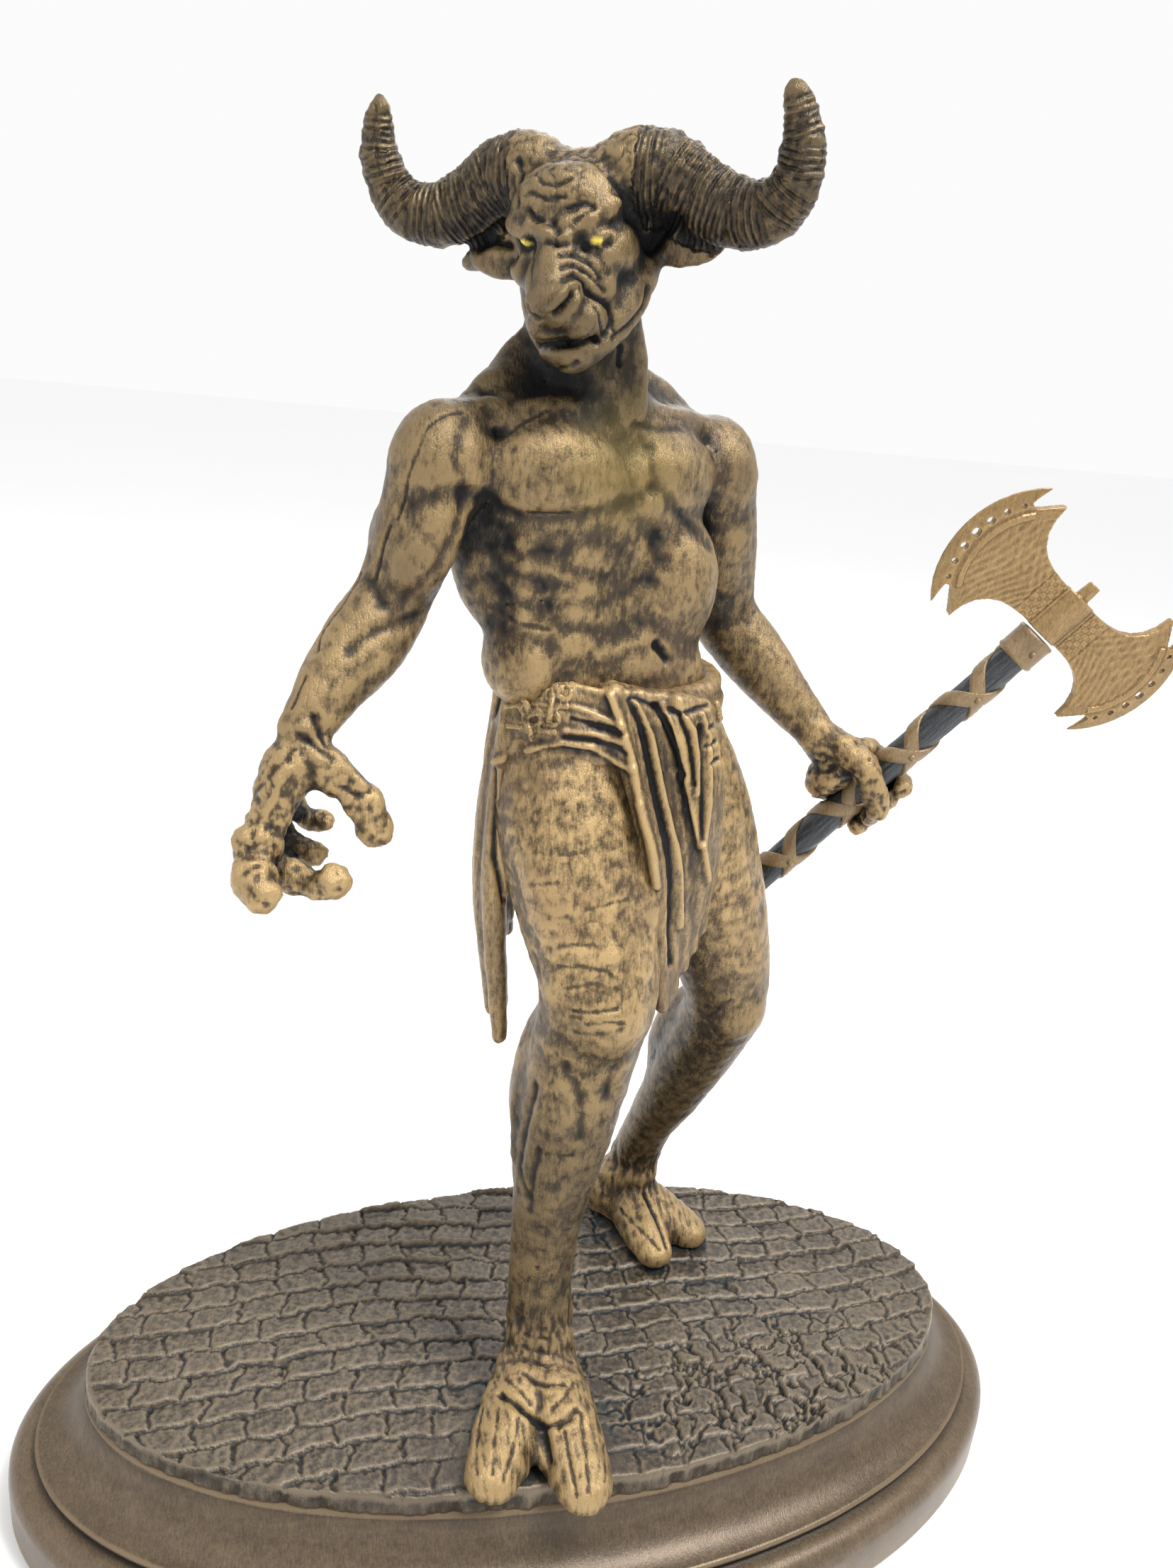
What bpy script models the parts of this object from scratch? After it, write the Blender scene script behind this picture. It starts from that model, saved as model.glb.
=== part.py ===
"""Minotaur statue: a striding bull-headed figure with a double-bladed axe, on cobbles, on a moulded oval plinth.

Run it with blender --background --python part.py. Lengths are in metres, +Z is up, the statue faces -Y and
the origin is the middle of the plinth's underside.
"""

import math

import bmesh
import bpy
import numpy as np
from mathutils import Euler, Matrix, Vector

# Sizes that can be set by themselves
PLINTH_HALF_LENGTH = 0.1276
PLINTH_HALF_WIDTH = 0.0682
PLINTH_HEIGHT = 0.030
PLINTH_WALL_HEIGHT = 0.0105
SHOULDER_OUT = 0.0048
SHOULDER_RISE = 0.0048
QUIRK_DEPTH = 0.0013
QUIRK_HEIGHT = 0.0012
LIP_HEIGHT = 0.0017
COVE_OUT = 0.0113

GROUND_THICKNESS = 0.0060
GROUND_RELIEF = 0.0013
GROUND_CELL = 0.0012
GROUND_TRIANGLES = 1700
COBBLE_LENGTH = 0.0112
COBBLE_WIDTH = 0.0070

FIGURE_HEIGHT = 0.271
FIGURE_TRIANGLES = 4380

SHAFT_RADIUS = 0.0040
STRAP_THICKNESS = 0.0006
STRAP_PITCH = 0.0195
STRAP_CROSSING = 0.0328
STRAP_HALF_WIDTH = 0.0026
STUD_RADIUS = 0.0009
SHAFT_BELOW_GRIP = 0.0435
SHAFT_ABOVE_GRIP = 0.0518
GRIP_CLEARANCE = 0.0004
STRAP_STEPS = 16
FRONT = -math.pi / 2
HANDLE_TRIANGLES = 1150
HANDLE_SKIN = 0.0004
COLLAR_HEIGHT = 0.0070

BLADE_REACH = 0.0333
BLADE_HALF_HEIGHT = 0.0166
BLADE_THICKNESS = 0.0022
BLADE_HOLES = 7
SOCKET_HALF_HEIGHT = 0.0056
SOCKET_HALF_WIDTH = 0.0044
SOCKET_THICKNESS = 0.0058
KNOB_RADIUS = 0.0019

GAP = 0.0003  # between pieces that touch

# What follows from them
GROUND_BASE = PLINTH_HEIGHT + GAP
FIGURE_BASE = GROUND_BASE + GROUND_THICKNESS + GAP
GROUND_INSET = SHOULDER_OUT + QUIRK_DEPTH + COVE_OUT
GROUND_HALF_LENGTH = PLINTH_HALF_LENGTH - GROUND_INSET
GROUND_HALF_WIDTH = PLINTH_HALF_WIDTH - GROUND_INSET

# The figure is modelled in units of 1/271 of its own height, about a millimetre each, from the ground up
UNIT = FIGURE_HEIGHT / 271
SKIN = 1.15
FIST_HALF_HEIGHT = 11
FIGURE_PLACE = Matrix.Translation((0, 0, FIGURE_BASE)) @ Matrix.Scale(UNIT, 4)

# The axe: where the left fist holds it, and its blade axis, the way through its plate and its shaft
GRIP = (68.8, 7.2, 142)
BLADE_WAY = Vector((0.826, 0, -0.563)).normalized()
SHAFT_WAY = Vector((0.541, -0.276, 0.794)).normalized()
THROUGH_WAY = SHAFT_WAY.cross(BLADE_WAY)


def axe_turn():
    """The axe's own frame: x along the blades, y through the plate, z up the shaft."""
    return Matrix((BLADE_WAY, THROUGH_WAY, SHAFT_WAY)).transposed().to_4x4()


FIST = Matrix.Translation(GRIP) @ axe_turn()
AXE = Matrix.Translation(FIGURE_PLACE @ Vector(GRIP)) @ axe_turn()


def material(name, colour, roughness, metallic):
    made = bpy.data.materials.new(name)
    made.use_nodes = True
    shader = made.node_tree.nodes["Principled BSDF"]
    shader.inputs["Base Color"].default_value = (*colour, 1)
    shader.inputs["Roughness"].default_value = roughness
    shader.inputs["Metallic"].default_value = metallic
    made.diffuse_color = (*colour, 1)
    return made


def place(name, mesh, skin):
    """An object in the statue's collection, with its material."""
    obj = bpy.data.objects.new(name, mesh)
    bpy.data.collections["minotaur_statue"].objects.link(obj)
    mesh.materials.clear()
    mesh.materials.append(skin)
    return obj


def settle(obj):
    """Turns what an object's modifiers show into its own mesh."""
    shown = obj.evaluated_get(bpy.context.evaluated_depsgraph_get())
    mesh = bpy.data.meshes.new_from_object(shown)
    obj.modifiers.clear()
    obj.data = mesh
    return mesh


def skin_over(obj, voxel, rounds):
    """One smooth skin over overlapping lumps."""
    wrap = obj.modifiers.new("skin", "REMESH")
    wrap.mode = "VOXEL"
    wrap.voxel_size = voxel
    soften = obj.modifiers.new("soft", "SMOOTH")
    soften.factor = 0.5
    soften.iterations = rounds
    settle(obj)


def thin_out(obj, triangles):
    """Fewer, larger triangles, where the surface is plain."""
    obj.data.calc_loop_triangles()
    fewer = obj.modifiers.new("fewer", "DECIMATE")
    fewer.ratio = min(1, triangles / len(obj.data.loop_triangles))
    settle(obj)


def combine(obj, other, operation):
    """Joins another solid to obj, or cuts it away, and removes that other solid."""
    tool = obj.modifiers.new("tool", "BOOLEAN")
    tool.operation = operation
    tool.solver = "EXACT"
    tool.object = other
    settle(obj)
    bpy.data.objects.remove(other)


def helper(name, mesh):
    """A solid that is joined to another or cut out of it."""
    obj = bpy.data.objects.new(name, mesh)
    bpy.data.collections["cutters"].objects.link(obj)
    obj.hide_render = True
    obj.display_type = "WIRE"
    return obj


def rod(name, radius, low, high, sides=24, top=None):
    """A round bar along its own z from low to high."""
    shape = bmesh.new()
    bmesh.ops.create_cone(shape, cap_ends=True, segments=sides, radius1=radius, radius2=radius if top is None else top,
                          depth=high - low, matrix=Matrix.Translation((0, 0, (low + high) / 2)))
    mesh = bpy.data.meshes.new(name)
    shape.to_mesh(mesh)
    shape.free()
    return mesh


# Overlapping lumps under one skin

def ball_template(segments):
    ball = bmesh.new()
    bmesh.ops.create_uvsphere(ball, u_segments=segments, v_segments=segments * 2 // 3, radius=1)
    corners = np.array([v.co[:] for v in ball.verts])
    faces = [[v.index for v in f.verts] for f in ball.faces]
    ball.free()
    return corners, faces


def smooth_run(stations, step):
    """Points and radii on a smooth curve through stations (x, y, z, radius), a share of the radius apart."""
    marks = [Vector(s) for s in stations]
    marks = [2 * marks[0] - marks[1]] + marks + [2 * marks[-1] - marks[-2]]
    found = []
    for a, b, c, d in zip(marks, marks[1:], marks[2:], marks[3:]):
        reach = (c - b).to_3d().length
        count = max(1, math.ceil(reach / (step * min(b[3], c[3]))))
        for k in range(count):
            t = k / count
            found.append(0.5 * (2 * b + (c - a) * t + (2 * a - 5 * b + 4 * c - d) * t ** 2
                                + (3 * b - a - 3 * c + d) * t ** 3))
    return found + [marks[-2]]


class Clay:
    """Lumps gathered in one mesh, each placed in the frame that is set when it is added."""

    def __init__(self):
        self.templates = {"fine": ball_template(20), "coarse": ball_template(12)}
        self.corners = []
        self.faces = []
        self.count = 0
        self.frame = Matrix.Identity(4)

    def lump(self, matrix, detail="fine"):
        corners, faces = self.templates[detail]
        where = np.array(self.frame @ matrix)
        self.corners.append(corners @ where[:3, :3].T + where[:3, 3])
        self.faces += [[i + self.count for i in face] for face in faces]
        self.count += len(corners)

    def ball(self, at, size, turn=(0, 0, 0), both=False):
        """An ellipsoid with half sizes, turned by degrees about x, y and z; both adds its mirror image."""
        for side in (1, -1) if both else (1,):
            spin = Euler([math.radians(a) for a in (turn[0], side * turn[1], side * turn[2])]).to_matrix().to_4x4()
            self.lump(Matrix.Translation((side * at[0], at[1], at[2])) @ spin @ Matrix.Diagonal((*size, 1)))

    def muscle(self, a, b, width, depth=None, both=False):
        """A spindle from a to b, a little longer than that."""
        for side in (1, -1) if both else (1,):
            start = Vector((side * a[0], a[1], a[2]))
            end = Vector((side * b[0], b[1], b[2]))
            along = end - start
            spin = along.to_track_quat("Z", "Y").to_matrix().to_4x4()
            size = Matrix.Diagonal((width, depth or width, along.length * 0.56, 1))
            self.lump(Matrix.Translation((start + end) / 2) @ spin @ size)

    def sweep(self, stations, both=False, step=0.3):
        """A round limb through stations (x, y, z, radius)."""
        for side in (1, -1) if both else (1,):
            for p in smooth_run([(side * s[0], *s[1:]) for s in stations], step):
                self.lump(Matrix.Translation(p.to_3d()) @ Matrix.Scale(p[3], 4), "coarse")

    def mesh(self, name):
        made = bpy.data.meshes.new(name)
        made.from_pydata(np.concatenate(self.corners).tolist(), [], self.faces)
        return made


def frame_at(origin, turn=0, nod=0, tilt=0):
    """A frame turned about the upright, tilted sideways and nodded, in degrees."""
    return (Matrix.Translation(origin) @ Matrix.Rotation(math.radians(turn), 4, "Z")
            @ Matrix.Rotation(math.radians(tilt), 4, "Y") @ Matrix.Rotation(math.radians(nod), 4, "X"))


WORLD = Matrix.Identity(4)
CHEST = frame_at((-7, 5, 196), 22)
PELVIS = frame_at((4, 6, 158), 15)
FACE = frame_at((-14, -3, 251.5), -32.5, 10, -12)
CROWN = frame_at((-14, -3, 251.5), -35.5, 10, -2.5)


def torso(clay):
    clay.frame = CHEST
    clay.ball((0, 1, 3), (24, 14.5, 23))
    clay.ball((0, 2, 18), (27, 11, 10))
    clay.ball((12.5, -9, 12), (14, 7.5, 9.5), (8, -8, 12), both=True)
    clay.ball((20, 5, 0), (7.5, 9.5, 19), (0, 8, 0), both=True)
    clay.muscle((6, 5, 38), (29, 3, 22), 6.5, 8, both=True)
    clay.sweep([(3, -8.5, 26, 1.7), (12, -9.5, 25.5, 1.6), (22, -6, 25, 1.7), (30, -2, 24, 2)], both=True)
    clay.ball((14, 9, 12), (10, 6, 12), both=True)
    clay.ball((6, 10, -8), (5, 6, 24), both=True)
    for row, z in enumerate((-1, -10, -19)):
        clay.ball((5.8, -10.2 + row * 0.4, z), (6.6, 3.6, 5.6), both=True)
    clay.ball((0, -8.4, -28), (10, 4.5, 9))
    for rib in range(4):
        clay.ball((18 - rib * 0.8, -6 + rib * 0.8, 1 - 5 * rib), (3.2, 5, 2.8), (0, -20, 30), both=True)
    clay.ball((0, 0, -17), (20, 12.5, 16))
    clay.ball((13.8, -1, -24), (7, 10.5, 10), both=True)
    clay.frame = WORLD
    clay.ball((-1, 5.5, 172), (20.5, 13, 14))
    clay.frame = PELVIS
    clay.ball((0, 1, 2), (23, 14.5, 14))
    clay.ball((10.5, 9, -7), (11.5, 10, 12), both=True)
    clay.ball((0, -4, -10), (9, 9, 9))


def neck(clay):
    clay.frame = WORLD
    clay.sweep([(-6, 7, 214, 12), (-8, 6, 226, 11.5), (-10.5, 5, 238, 11.5), (-12, 3, 248, 11.5)])
    clay.muscle((-19, 1, 243), (-3, -6, 221), 3.4)
    clay.muscle((-3, 3, 243), (0, -5, 221), 3.4)
    clay.muscle((-22, 6, 240), (-30, 4, 221), 5, 7)


def right_arm(clay):
    clay.frame = WORLD
    clay.ball((-38.5, -7.5, 210), (10, 10.5, 12.5), (0, 12, 20))
    clay.sweep([(-39, -8, 209, 9), (-42, -7, 197, 8.6), (-46, -6, 184, 7.6)])
    clay.muscle((-37, -12, 208), (-43, -11, 186), 6.6, 6)
    clay.muscle((-41, -1, 207), (-47, 0, 187), 6.6, 6.5)
    clay.sweep([(-46, -6, 184, 8), (-51, -10.5, 177, 8.6), (-57, -15, 170, 7), (-63, -20, 162, 4.8)])
    clay.muscle((-45, -8, 190), (-58, -16, 168), 5.6)
    clay.muscle((-43, -6, 182), (-57, -13, 168), 5)


def right_hand(clay):
    """Open, its fingers half curled."""
    clay.frame = WORLD
    clay.ball((-66, -22, 153), (5.2, 5.5, 9), (0, 18, 0))
    clay.sweep([(-62, -21, 159, 4.2), (-57, -24, 154.5, 3.8), (-52.5, -25, 150.5, 3.3), (-49.6, -25, 145, 3.5)])
    clay.sweep([(-67, -24, 150, 4), (-70, -26, 143, 3.8), (-71.5, -29, 138.5, 3.6), (-69.8, -34, 135, 3.9)])
    clay.sweep([(-68, -20, 148, 3.8), (-70, -20, 140, 3.4), (-66, -25, 135.5, 3.1), (-60, -29, 134.5, 3),
                (-56.5, -31, 136, 3.1)])
    clay.sweep([(-68, -17, 150, 3.6), (-69, -14, 143, 3.2), (-65, -17, 138, 2.9), (-60, -20, 137, 2.8)])
    clay.sweep([(-66, -15, 152, 3.2), (-66, -10, 146, 2.8), (-62, -11, 141, 2.5), (-58, -13, 141, 2.4)])


def left_arm(clay):
    clay.frame = WORLD
    clay.ball((24.5, 17, 211), (9.5, 10.5, 12.5), (0, -10, 20))
    clay.sweep([(25, 18, 212, 9), (29.5, 21, 196, 8.8), (33.5, 25, 178, 7.8)])
    clay.muscle((25, 14, 208), (31, 19, 184), 6.4)
    clay.muscle((30, 24, 206), (35.5, 28, 184), 6.4)
    clay.sweep([(33.5, 25, 178, 8), (40, 21, 171, 8.2), (48.5, 15.5, 161.5, 6.6), (55.5, 11, 154, 4.9)])


def left_fist(clay):
    """Closed round the shaft, in the axe's own frame."""
    clay.frame = FIST
    clay.sweep([(-18, 3.3, 1.3, 4.9), (-12, 2.5, 1, 5.4), (-9, 2, 0, 5.6)])
    clay.ball((-8.5, 1.5, -1.5), (4.6, 6, 9.2))
    finger_radius = 2.9
    curl = SHAFT_RADIUS / UNIT + finger_radius - 0.4
    for up, last in ((6.2, 215), (1.2, 228), (-3.8, 236), (-8.4, 232)):
        run = []
        for turn in range(30, last + 1, 34):
            a = math.radians(turn)
            run.append((-curl * math.cos(a), curl * math.sin(a), up, finger_radius - (turn - 30) * 0.002))
        clay.sweep(run)
    clay.sweep([(-12, -1, 4, 3.9), (-7.5, -5, 4.6, 3.6), (-2.5, -7, 2.6, 3.3), (2.4, -7.2, -0.6, 3.2)])


def right_leg(clay):
    """The forward one."""
    clay.frame = WORLD
    clay.sweep([(-8, 4, 152, 15.5), (-6, -3, 137, 16.5), (-3, -10, 120, 15), (0, -15, 108, 13), (0, -17, 101, 12)])
    clay.muscle((-13, -4, 148), (-8, -22, 112), 8)
    clay.muscle((2, -4, 146), (6, -20, 112), 7.5)
    clay.ball((0, -25, 103), (7.5, 5.5, 8))
    clay.sweep([(0, -17, 101, 12), (-2, -15, 88, 11.5), (-4, -16, 70, 10.5), (-6, -18, 50, 9), (-7, -19, 32, 7.8),
                (-6.5, -20, 20, 8.2)])
    clay.muscle((-4, -6, 96), (-9, -9, 58), 8.5, 9)
    clay.muscle((-10, -10, 76), (-10, -13, 46), 5)


def left_leg(clay):
    """The one behind."""
    clay.frame = WORLD
    clay.sweep([(17, 10, 152, 15), (24, 8, 136, 16), (32, 6, 116, 14), (38, 5, 98, 12), (40.5, 6, 87, 10.5)])
    clay.ball((41, -1.5, 87), (7, 5, 8))
    clay.sweep([(41, 6, 85, 10.5), (39.5, 13, 70, 9.8), (36.5, 22, 50, 8.6), (34, 30, 33, 7), (33, 36, 19, 7.2)])
    clay.muscle((39, 18, 82), (36, 31, 50), 8)


def hoof(clay, fetlock, toes, width, height):
    """A cloven hoof, from the fetlock to its two toe tips on the ground."""
    clay.frame = WORLD
    top = Vector(fetlock)
    for tip in toes:
        toe = Vector((*tip, 0))
        along = (toe - top.to_2d().to_3d()).normalized()
        turn = along.to_track_quat("Y", "Z").to_matrix().to_4x4()
        heel = toe - along * width * 1.9
        for k in range(9):
            share = k / 8
            at = heel.lerp(toe - along * 3, share)
            tall = height * (1 - 0.55 * share ** 1.6)
            half = width / 2 * (1 - 0.28 * share ** 3)
            clay.lump(Matrix.Translation((at.x, at.y, tall * 0.35)) @ turn
                      @ Matrix.Diagonal((half, half, tall * 0.75, 1)))
        clay.sweep([(*top, width * 0.45), (*heel.lerp(top, 0.35).to_2d(), height * 0.85, width * 0.45)])


def head(clay):
    """In the face's own frame: x to its left, -y out of the face, z up."""
    clay.frame = FACE
    clay.ball((0, 3, 3), (11.5, 13, 10.5))
    clay.ball((0, -6, 5), (10.5, 7.5, 8))
    clay.muscle((1.5, -13, 1.2), (10.5, -8.5, 5), 2.2, both=True)
    clay.ball((6.2, -10, -0.3), (2.8, 2.6, 1.9), both=True)
    clay.sweep([(0, -11, 2, 4), (0, -14.5, -2.5, 4), (0, -18.3, -7, 4.3), (0, -19.8, -9, 4.2)])
    clay.ball((0, -21, -8.6), (5.4, 3.6, 3.2))
    clay.ball((3.4, -15.8, -12.4), (4, 5.2, 3.5), both=True)
    clay.ball((0, -9, -7), (8.6, 9.5, 8))
    clay.ball((8.4, -5, -2.5), (3.6, 7.5, 4.4), both=True)
    clay.sweep([(9, 1, -7, 4.8), (7.2, -6, -12.5, 4.2), (3.8, -12, -16.8, 3.6), (0, -14, -18.2, 3.8)], both=True)
    clay.ball((0, -14.8, -18.8), (4.4, 4.4, 3.4))
    clay.sweep([(11, 3, 0, 3), (16, 4.5, 1, 3.8), (21, 6, 0.5, 3.2), (26, 7, -0.5, 1.6)], both=True)


def horns(clay):
    """Out from a heavy base, down, and up again to the tips."""
    clay.frame = CROWN
    clay.sweep([(4.5, 1, 8.5, 6.2), (10, 1, 11, 6.9), (16, 2, 10.5, 6.7), (22, 2.5, 7, 6.2), (29, 2, 4.2, 5.8),
                (35.5, 1, 4.8, 5.2), (39.5, 0, 9.5, 4.3), (40.5, -1, 15.5, 3.5), (39, -2, 22, 2.2)], both=True, step=0.2)


def loincloth(clay):
    """A wound belt, pleats hanging in front and a ragged panel behind."""
    clay.frame = PELVIS
    for drop, out, thick in ((9.5, 0.4, 2.4), (5.5, 1.2, 2.6), (1.5, 1.4, 2.6), (-2.5, 1.2, 2.4)):
        turns = [math.tau * k / 24 for k in range(25)]
        clay.sweep([((23 + out) * math.cos(a), 1 + (15.5 + out) * math.sin(a), drop + 1.5 * math.sin(a), thick)
                    for a in turns])
    clay.frame = WORLD
    for k in range(5):
        share = k / 4
        top = Vector((-1 + 21 * share, -10.5 + 5 * share, 168 - 5 * share))
        knee = Vector((10 + 14 * share, -16 + 8 * share, 132))
        hem = Vector((16.5 + 9 * share, -14 + 6 * share, 97 + 16 * share))
        clay.sweep([(*top, 2.2), (*top.lerp(knee, 0.5), 2.5), (*knee, 2.7), (*hem, 2)])
    clay.frame = PELVIS
    for k in range(13):
        a = math.radians(184 - 172 * k / 12)
        x = 25.5 * math.cos(a)
        y = 1 + 18.5 * math.sin(a)
        hem = -62 - 14 * math.cos(a * 2) + (4 if k % 2 else 0)
        clay.sweep([(x, y, 4, 2.2), (x * 1.04, y * 1.1, -25, 2.9), (x, y * 1.12, -45, 2.9),
                    (x * 0.86, y * 1.1, hem, 2)])


def model_figure(clay):
    torso(clay)
    neck(clay)
    right_arm(clay)
    right_hand(clay)
    left_arm(clay)
    left_fist(clay)
    right_leg(clay)
    left_leg(clay)
    hoof(clay, (-6.5, -22, 16), ((-22.5, -50), (-1.5, -56)), 18, 15)
    hoof(clay, (33, 34, 15), ((34.5, 12), (48.5, 19)), 15, 13)
    head(clay)
    horns(clay)
    loincloth(clay)


def flat_below(obj, height):
    """Cuts an object flat at a height and closes it there."""
    shape = bmesh.new()
    shape.from_mesh(obj.data)
    everything = shape.verts[:] + shape.edges[:] + shape.faces[:]
    cut = bmesh.ops.bisect_plane(shape, geom=everything, dist=1e-7, plane_co=(0, 0, height), plane_no=(0, 0, 1),
                                 clear_inner=True)
    edges = [e for e in cut["geom_cut"] if isinstance(e, bmesh.types.BMEdge)]
    bmesh.ops.holes_fill(shape, edges=edges, sides=0)
    bmesh.ops.triangulate(shape, faces=shape.faces[:])
    shape.to_mesh(obj.data)
    shape.free()


def make_figure(skin):
    clay = Clay()
    model_figure(clay)
    obj = place("figure", clay.mesh("figure"), skin)
    skin_over(obj, SKIN, 6)
    thin_out(obj, FIGURE_TRIANGLES)
    obj.data.transform(FIGURE_PLACE)
    flat_below(obj, FIGURE_BASE)
    bore = helper("shaft_way", rod("shaft_way", SHAFT_RADIUS + GRIP_CLEARANCE, -SHAFT_BELOW_GRIP - GAP * 10,
                                   SHAFT_ABOVE_GRIP))
    bore.matrix_world = AXE
    combine(obj, bore, "DIFFERENCE")
    obj.data.materials.clear()
    obj.data.materials.append(skin)
    obj.data.shade_smooth()
    return obj


# Plinth and ground

def oval_stack(name, levels, sides=52):
    """A closed body lofted through ovals, each (inset from the widest, height), from the bottom up."""
    shape = bmesh.new()
    rings = []
    for inset, height in levels:
        ring = []
        for k in range(sides):
            a = math.tau * k / sides
            x = (PLINTH_HALF_LENGTH - inset) * math.cos(a)
            y = (PLINTH_HALF_WIDTH - inset) * math.sin(a)
            ring.append(shape.verts.new((x, y, height)))
        rings.append(ring)
    for low, high in zip(rings, rings[1:]):
        for k in range(sides):
            after = (k + 1) % sides
            shape.faces.new((low[k], low[after], high[after], high[k]))
    shape.faces.new(rings[0][::-1])
    shape.faces.new(rings[-1])
    mesh = bpy.data.meshes.new(name)
    shape.to_mesh(mesh)
    shape.free()
    return mesh


def plinth_levels():
    """The plinth's moulding from the bottom up: wall, rounded shoulder, quirk, lip and cove."""
    levels = [(0, 0), (0, PLINTH_WALL_HEIGHT)]
    for k in range(1, 4):
        a = math.radians(90 * k / 3)
        levels.append((SHOULDER_OUT * (1 - math.cos(a)), PLINTH_WALL_HEIGHT + SHOULDER_RISE * math.sin(a)))
    quirk_foot = PLINTH_WALL_HEIGHT + SHOULDER_RISE
    lip_out = SHOULDER_OUT + QUIRK_DEPTH
    levels.append((lip_out + QUIRK_DEPTH, quirk_foot))
    levels.append((lip_out + QUIRK_DEPTH, quirk_foot + QUIRK_HEIGHT))
    levels.append((lip_out, quirk_foot + QUIRK_HEIGHT))
    lip_top = quirk_foot + QUIRK_HEIGHT + LIP_HEIGHT
    rise = PLINTH_HEIGHT - lip_top
    for k in range(5):
        a = math.radians(90 * k / 4)
        levels.append((lip_out + COVE_OUT * math.sin(a), lip_top + rise * (1 - math.cos(a))))
    return levels


def scatter(row, column, salt):
    """A steady number from 0 to 1 for each cobble."""
    wave = np.sin(row * 12.9898 + column * 78.233 + salt * 37.719) * 43758.5453
    return wave - np.floor(wave)


def cobble_depth(x, y):
    """How far the ground lies below its highest level at x, y: rows of worn slabs, each with its front edge up."""
    sway = 0.0022 * np.sin(x / 0.031) + 0.0012 * np.sin(x / 0.013 + 1.7)
    across = (y + sway) / COBBLE_WIDTH
    row = np.floor(across)
    along = x / COBBLE_LENGTH + scatter(row, 0, 1) + 0.08 * np.sin(y / 0.004)
    column = np.floor(along)
    back = across - row
    side = along - column
    lean = 0.5 * back + 0.25 * scatter(row, column, 2)
    edge = np.minimum(np.minimum(side, 1 - side) * COBBLE_LENGTH, np.minimum(back, 1 - back) * COBBLE_WIDTH)
    joint = np.clip(1 - edge / (COBBLE_WIDTH * 0.17), 0, 1) ** 2
    return GROUND_RELIEF * np.clip(lean + joint, 0, 1)


def make_ground(skin):
    """An oval slab of cobbles: a square grid squeezed to the oval, with its relief, walls and underside."""
    shape = bmesh.new()
    cells_x = round(2 * GROUND_HALF_LENGTH / GROUND_CELL)
    cells_y = round(2 * GROUND_HALF_WIDTH / GROUND_CELL)
    bmesh.ops.create_grid(shape, x_segments=cells_x, y_segments=cells_y, size=1)
    for v in shape.verts:
        u, w = v.co.x, v.co.y
        x = GROUND_HALF_LENGTH * u * math.sqrt(1 - w * w / 2)
        y = GROUND_HALF_WIDTH * w * math.sqrt(1 - u * u / 2)
        v.co = (x, y, GROUND_BASE + GROUND_THICKNESS - float(cobble_depth(x, y)))
    rim = [e for e in shape.edges if e.is_boundary]
    skirt = bmesh.ops.extrude_edge_only(shape, edges=rim)["geom"]
    for v in skirt:
        if isinstance(v, bmesh.types.BMVert):
            v.co.z = GROUND_BASE
    bmesh.ops.holes_fill(shape, edges=[e for e in shape.edges if e.is_boundary], sides=0)
    bmesh.ops.recalc_face_normals(shape, faces=shape.faces[:])
    bmesh.ops.triangulate(shape, faces=shape.faces[:])
    mesh = bpy.data.meshes.new("cobbled_ground")
    shape.to_mesh(mesh)
    shape.free()
    obj = place("cobbled_ground", mesh, skin)
    thin_out(obj, GROUND_TRIANGLES)
    for v in obj.data.vertices:
        v.co.z = min(max(v.co.z, GROUND_BASE), GROUND_BASE + GROUND_THICKNESS)
    return obj


# The axe

def strap(name, hand):
    """A flat strap wound along the shaft in one direction."""
    shape = bmesh.new()
    low = -SHAFT_BELOW_GRIP + STRAP_THICKNESS
    high = SHAFT_ABOVE_GRIP - COLLAR_HEIGHT / 2
    inner = SHAFT_RADIUS - 2 * STRAP_THICKNESS
    outer = SHAFT_RADIUS
    count = round(STRAP_STEPS * (high - low) / STRAP_PITCH)
    rings = []
    for k in range(count + 1):
        z = low + (high - low) * k / count
        a = FRONT + hand * math.tau * (z - STRAP_CROSSING) / STRAP_PITCH
        ring = []
        for r, way in ((inner, -1), (inner, 1), (outer, 1), (outer, -1)):
            b = a + way * STRAP_HALF_WIDTH / SHAFT_RADIUS
            ring.append(shape.verts.new((r * math.cos(b), r * math.sin(b), z)))
        rings.append(ring)
    for low_ring, high_ring in zip(rings, rings[1:]):
        for k in range(4):
            after = (k + 1) % 4
            shape.faces.new((low_ring[k], low_ring[after], high_ring[after], high_ring[k]))
    shape.faces.new(rings[0][::-1])
    shape.faces.new(rings[-1])
    bmesh.ops.recalc_face_normals(shape, faces=shape.faces[:])
    mesh = bpy.data.meshes.new(name)
    shape.to_mesh(mesh)
    shape.free()
    return mesh


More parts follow.
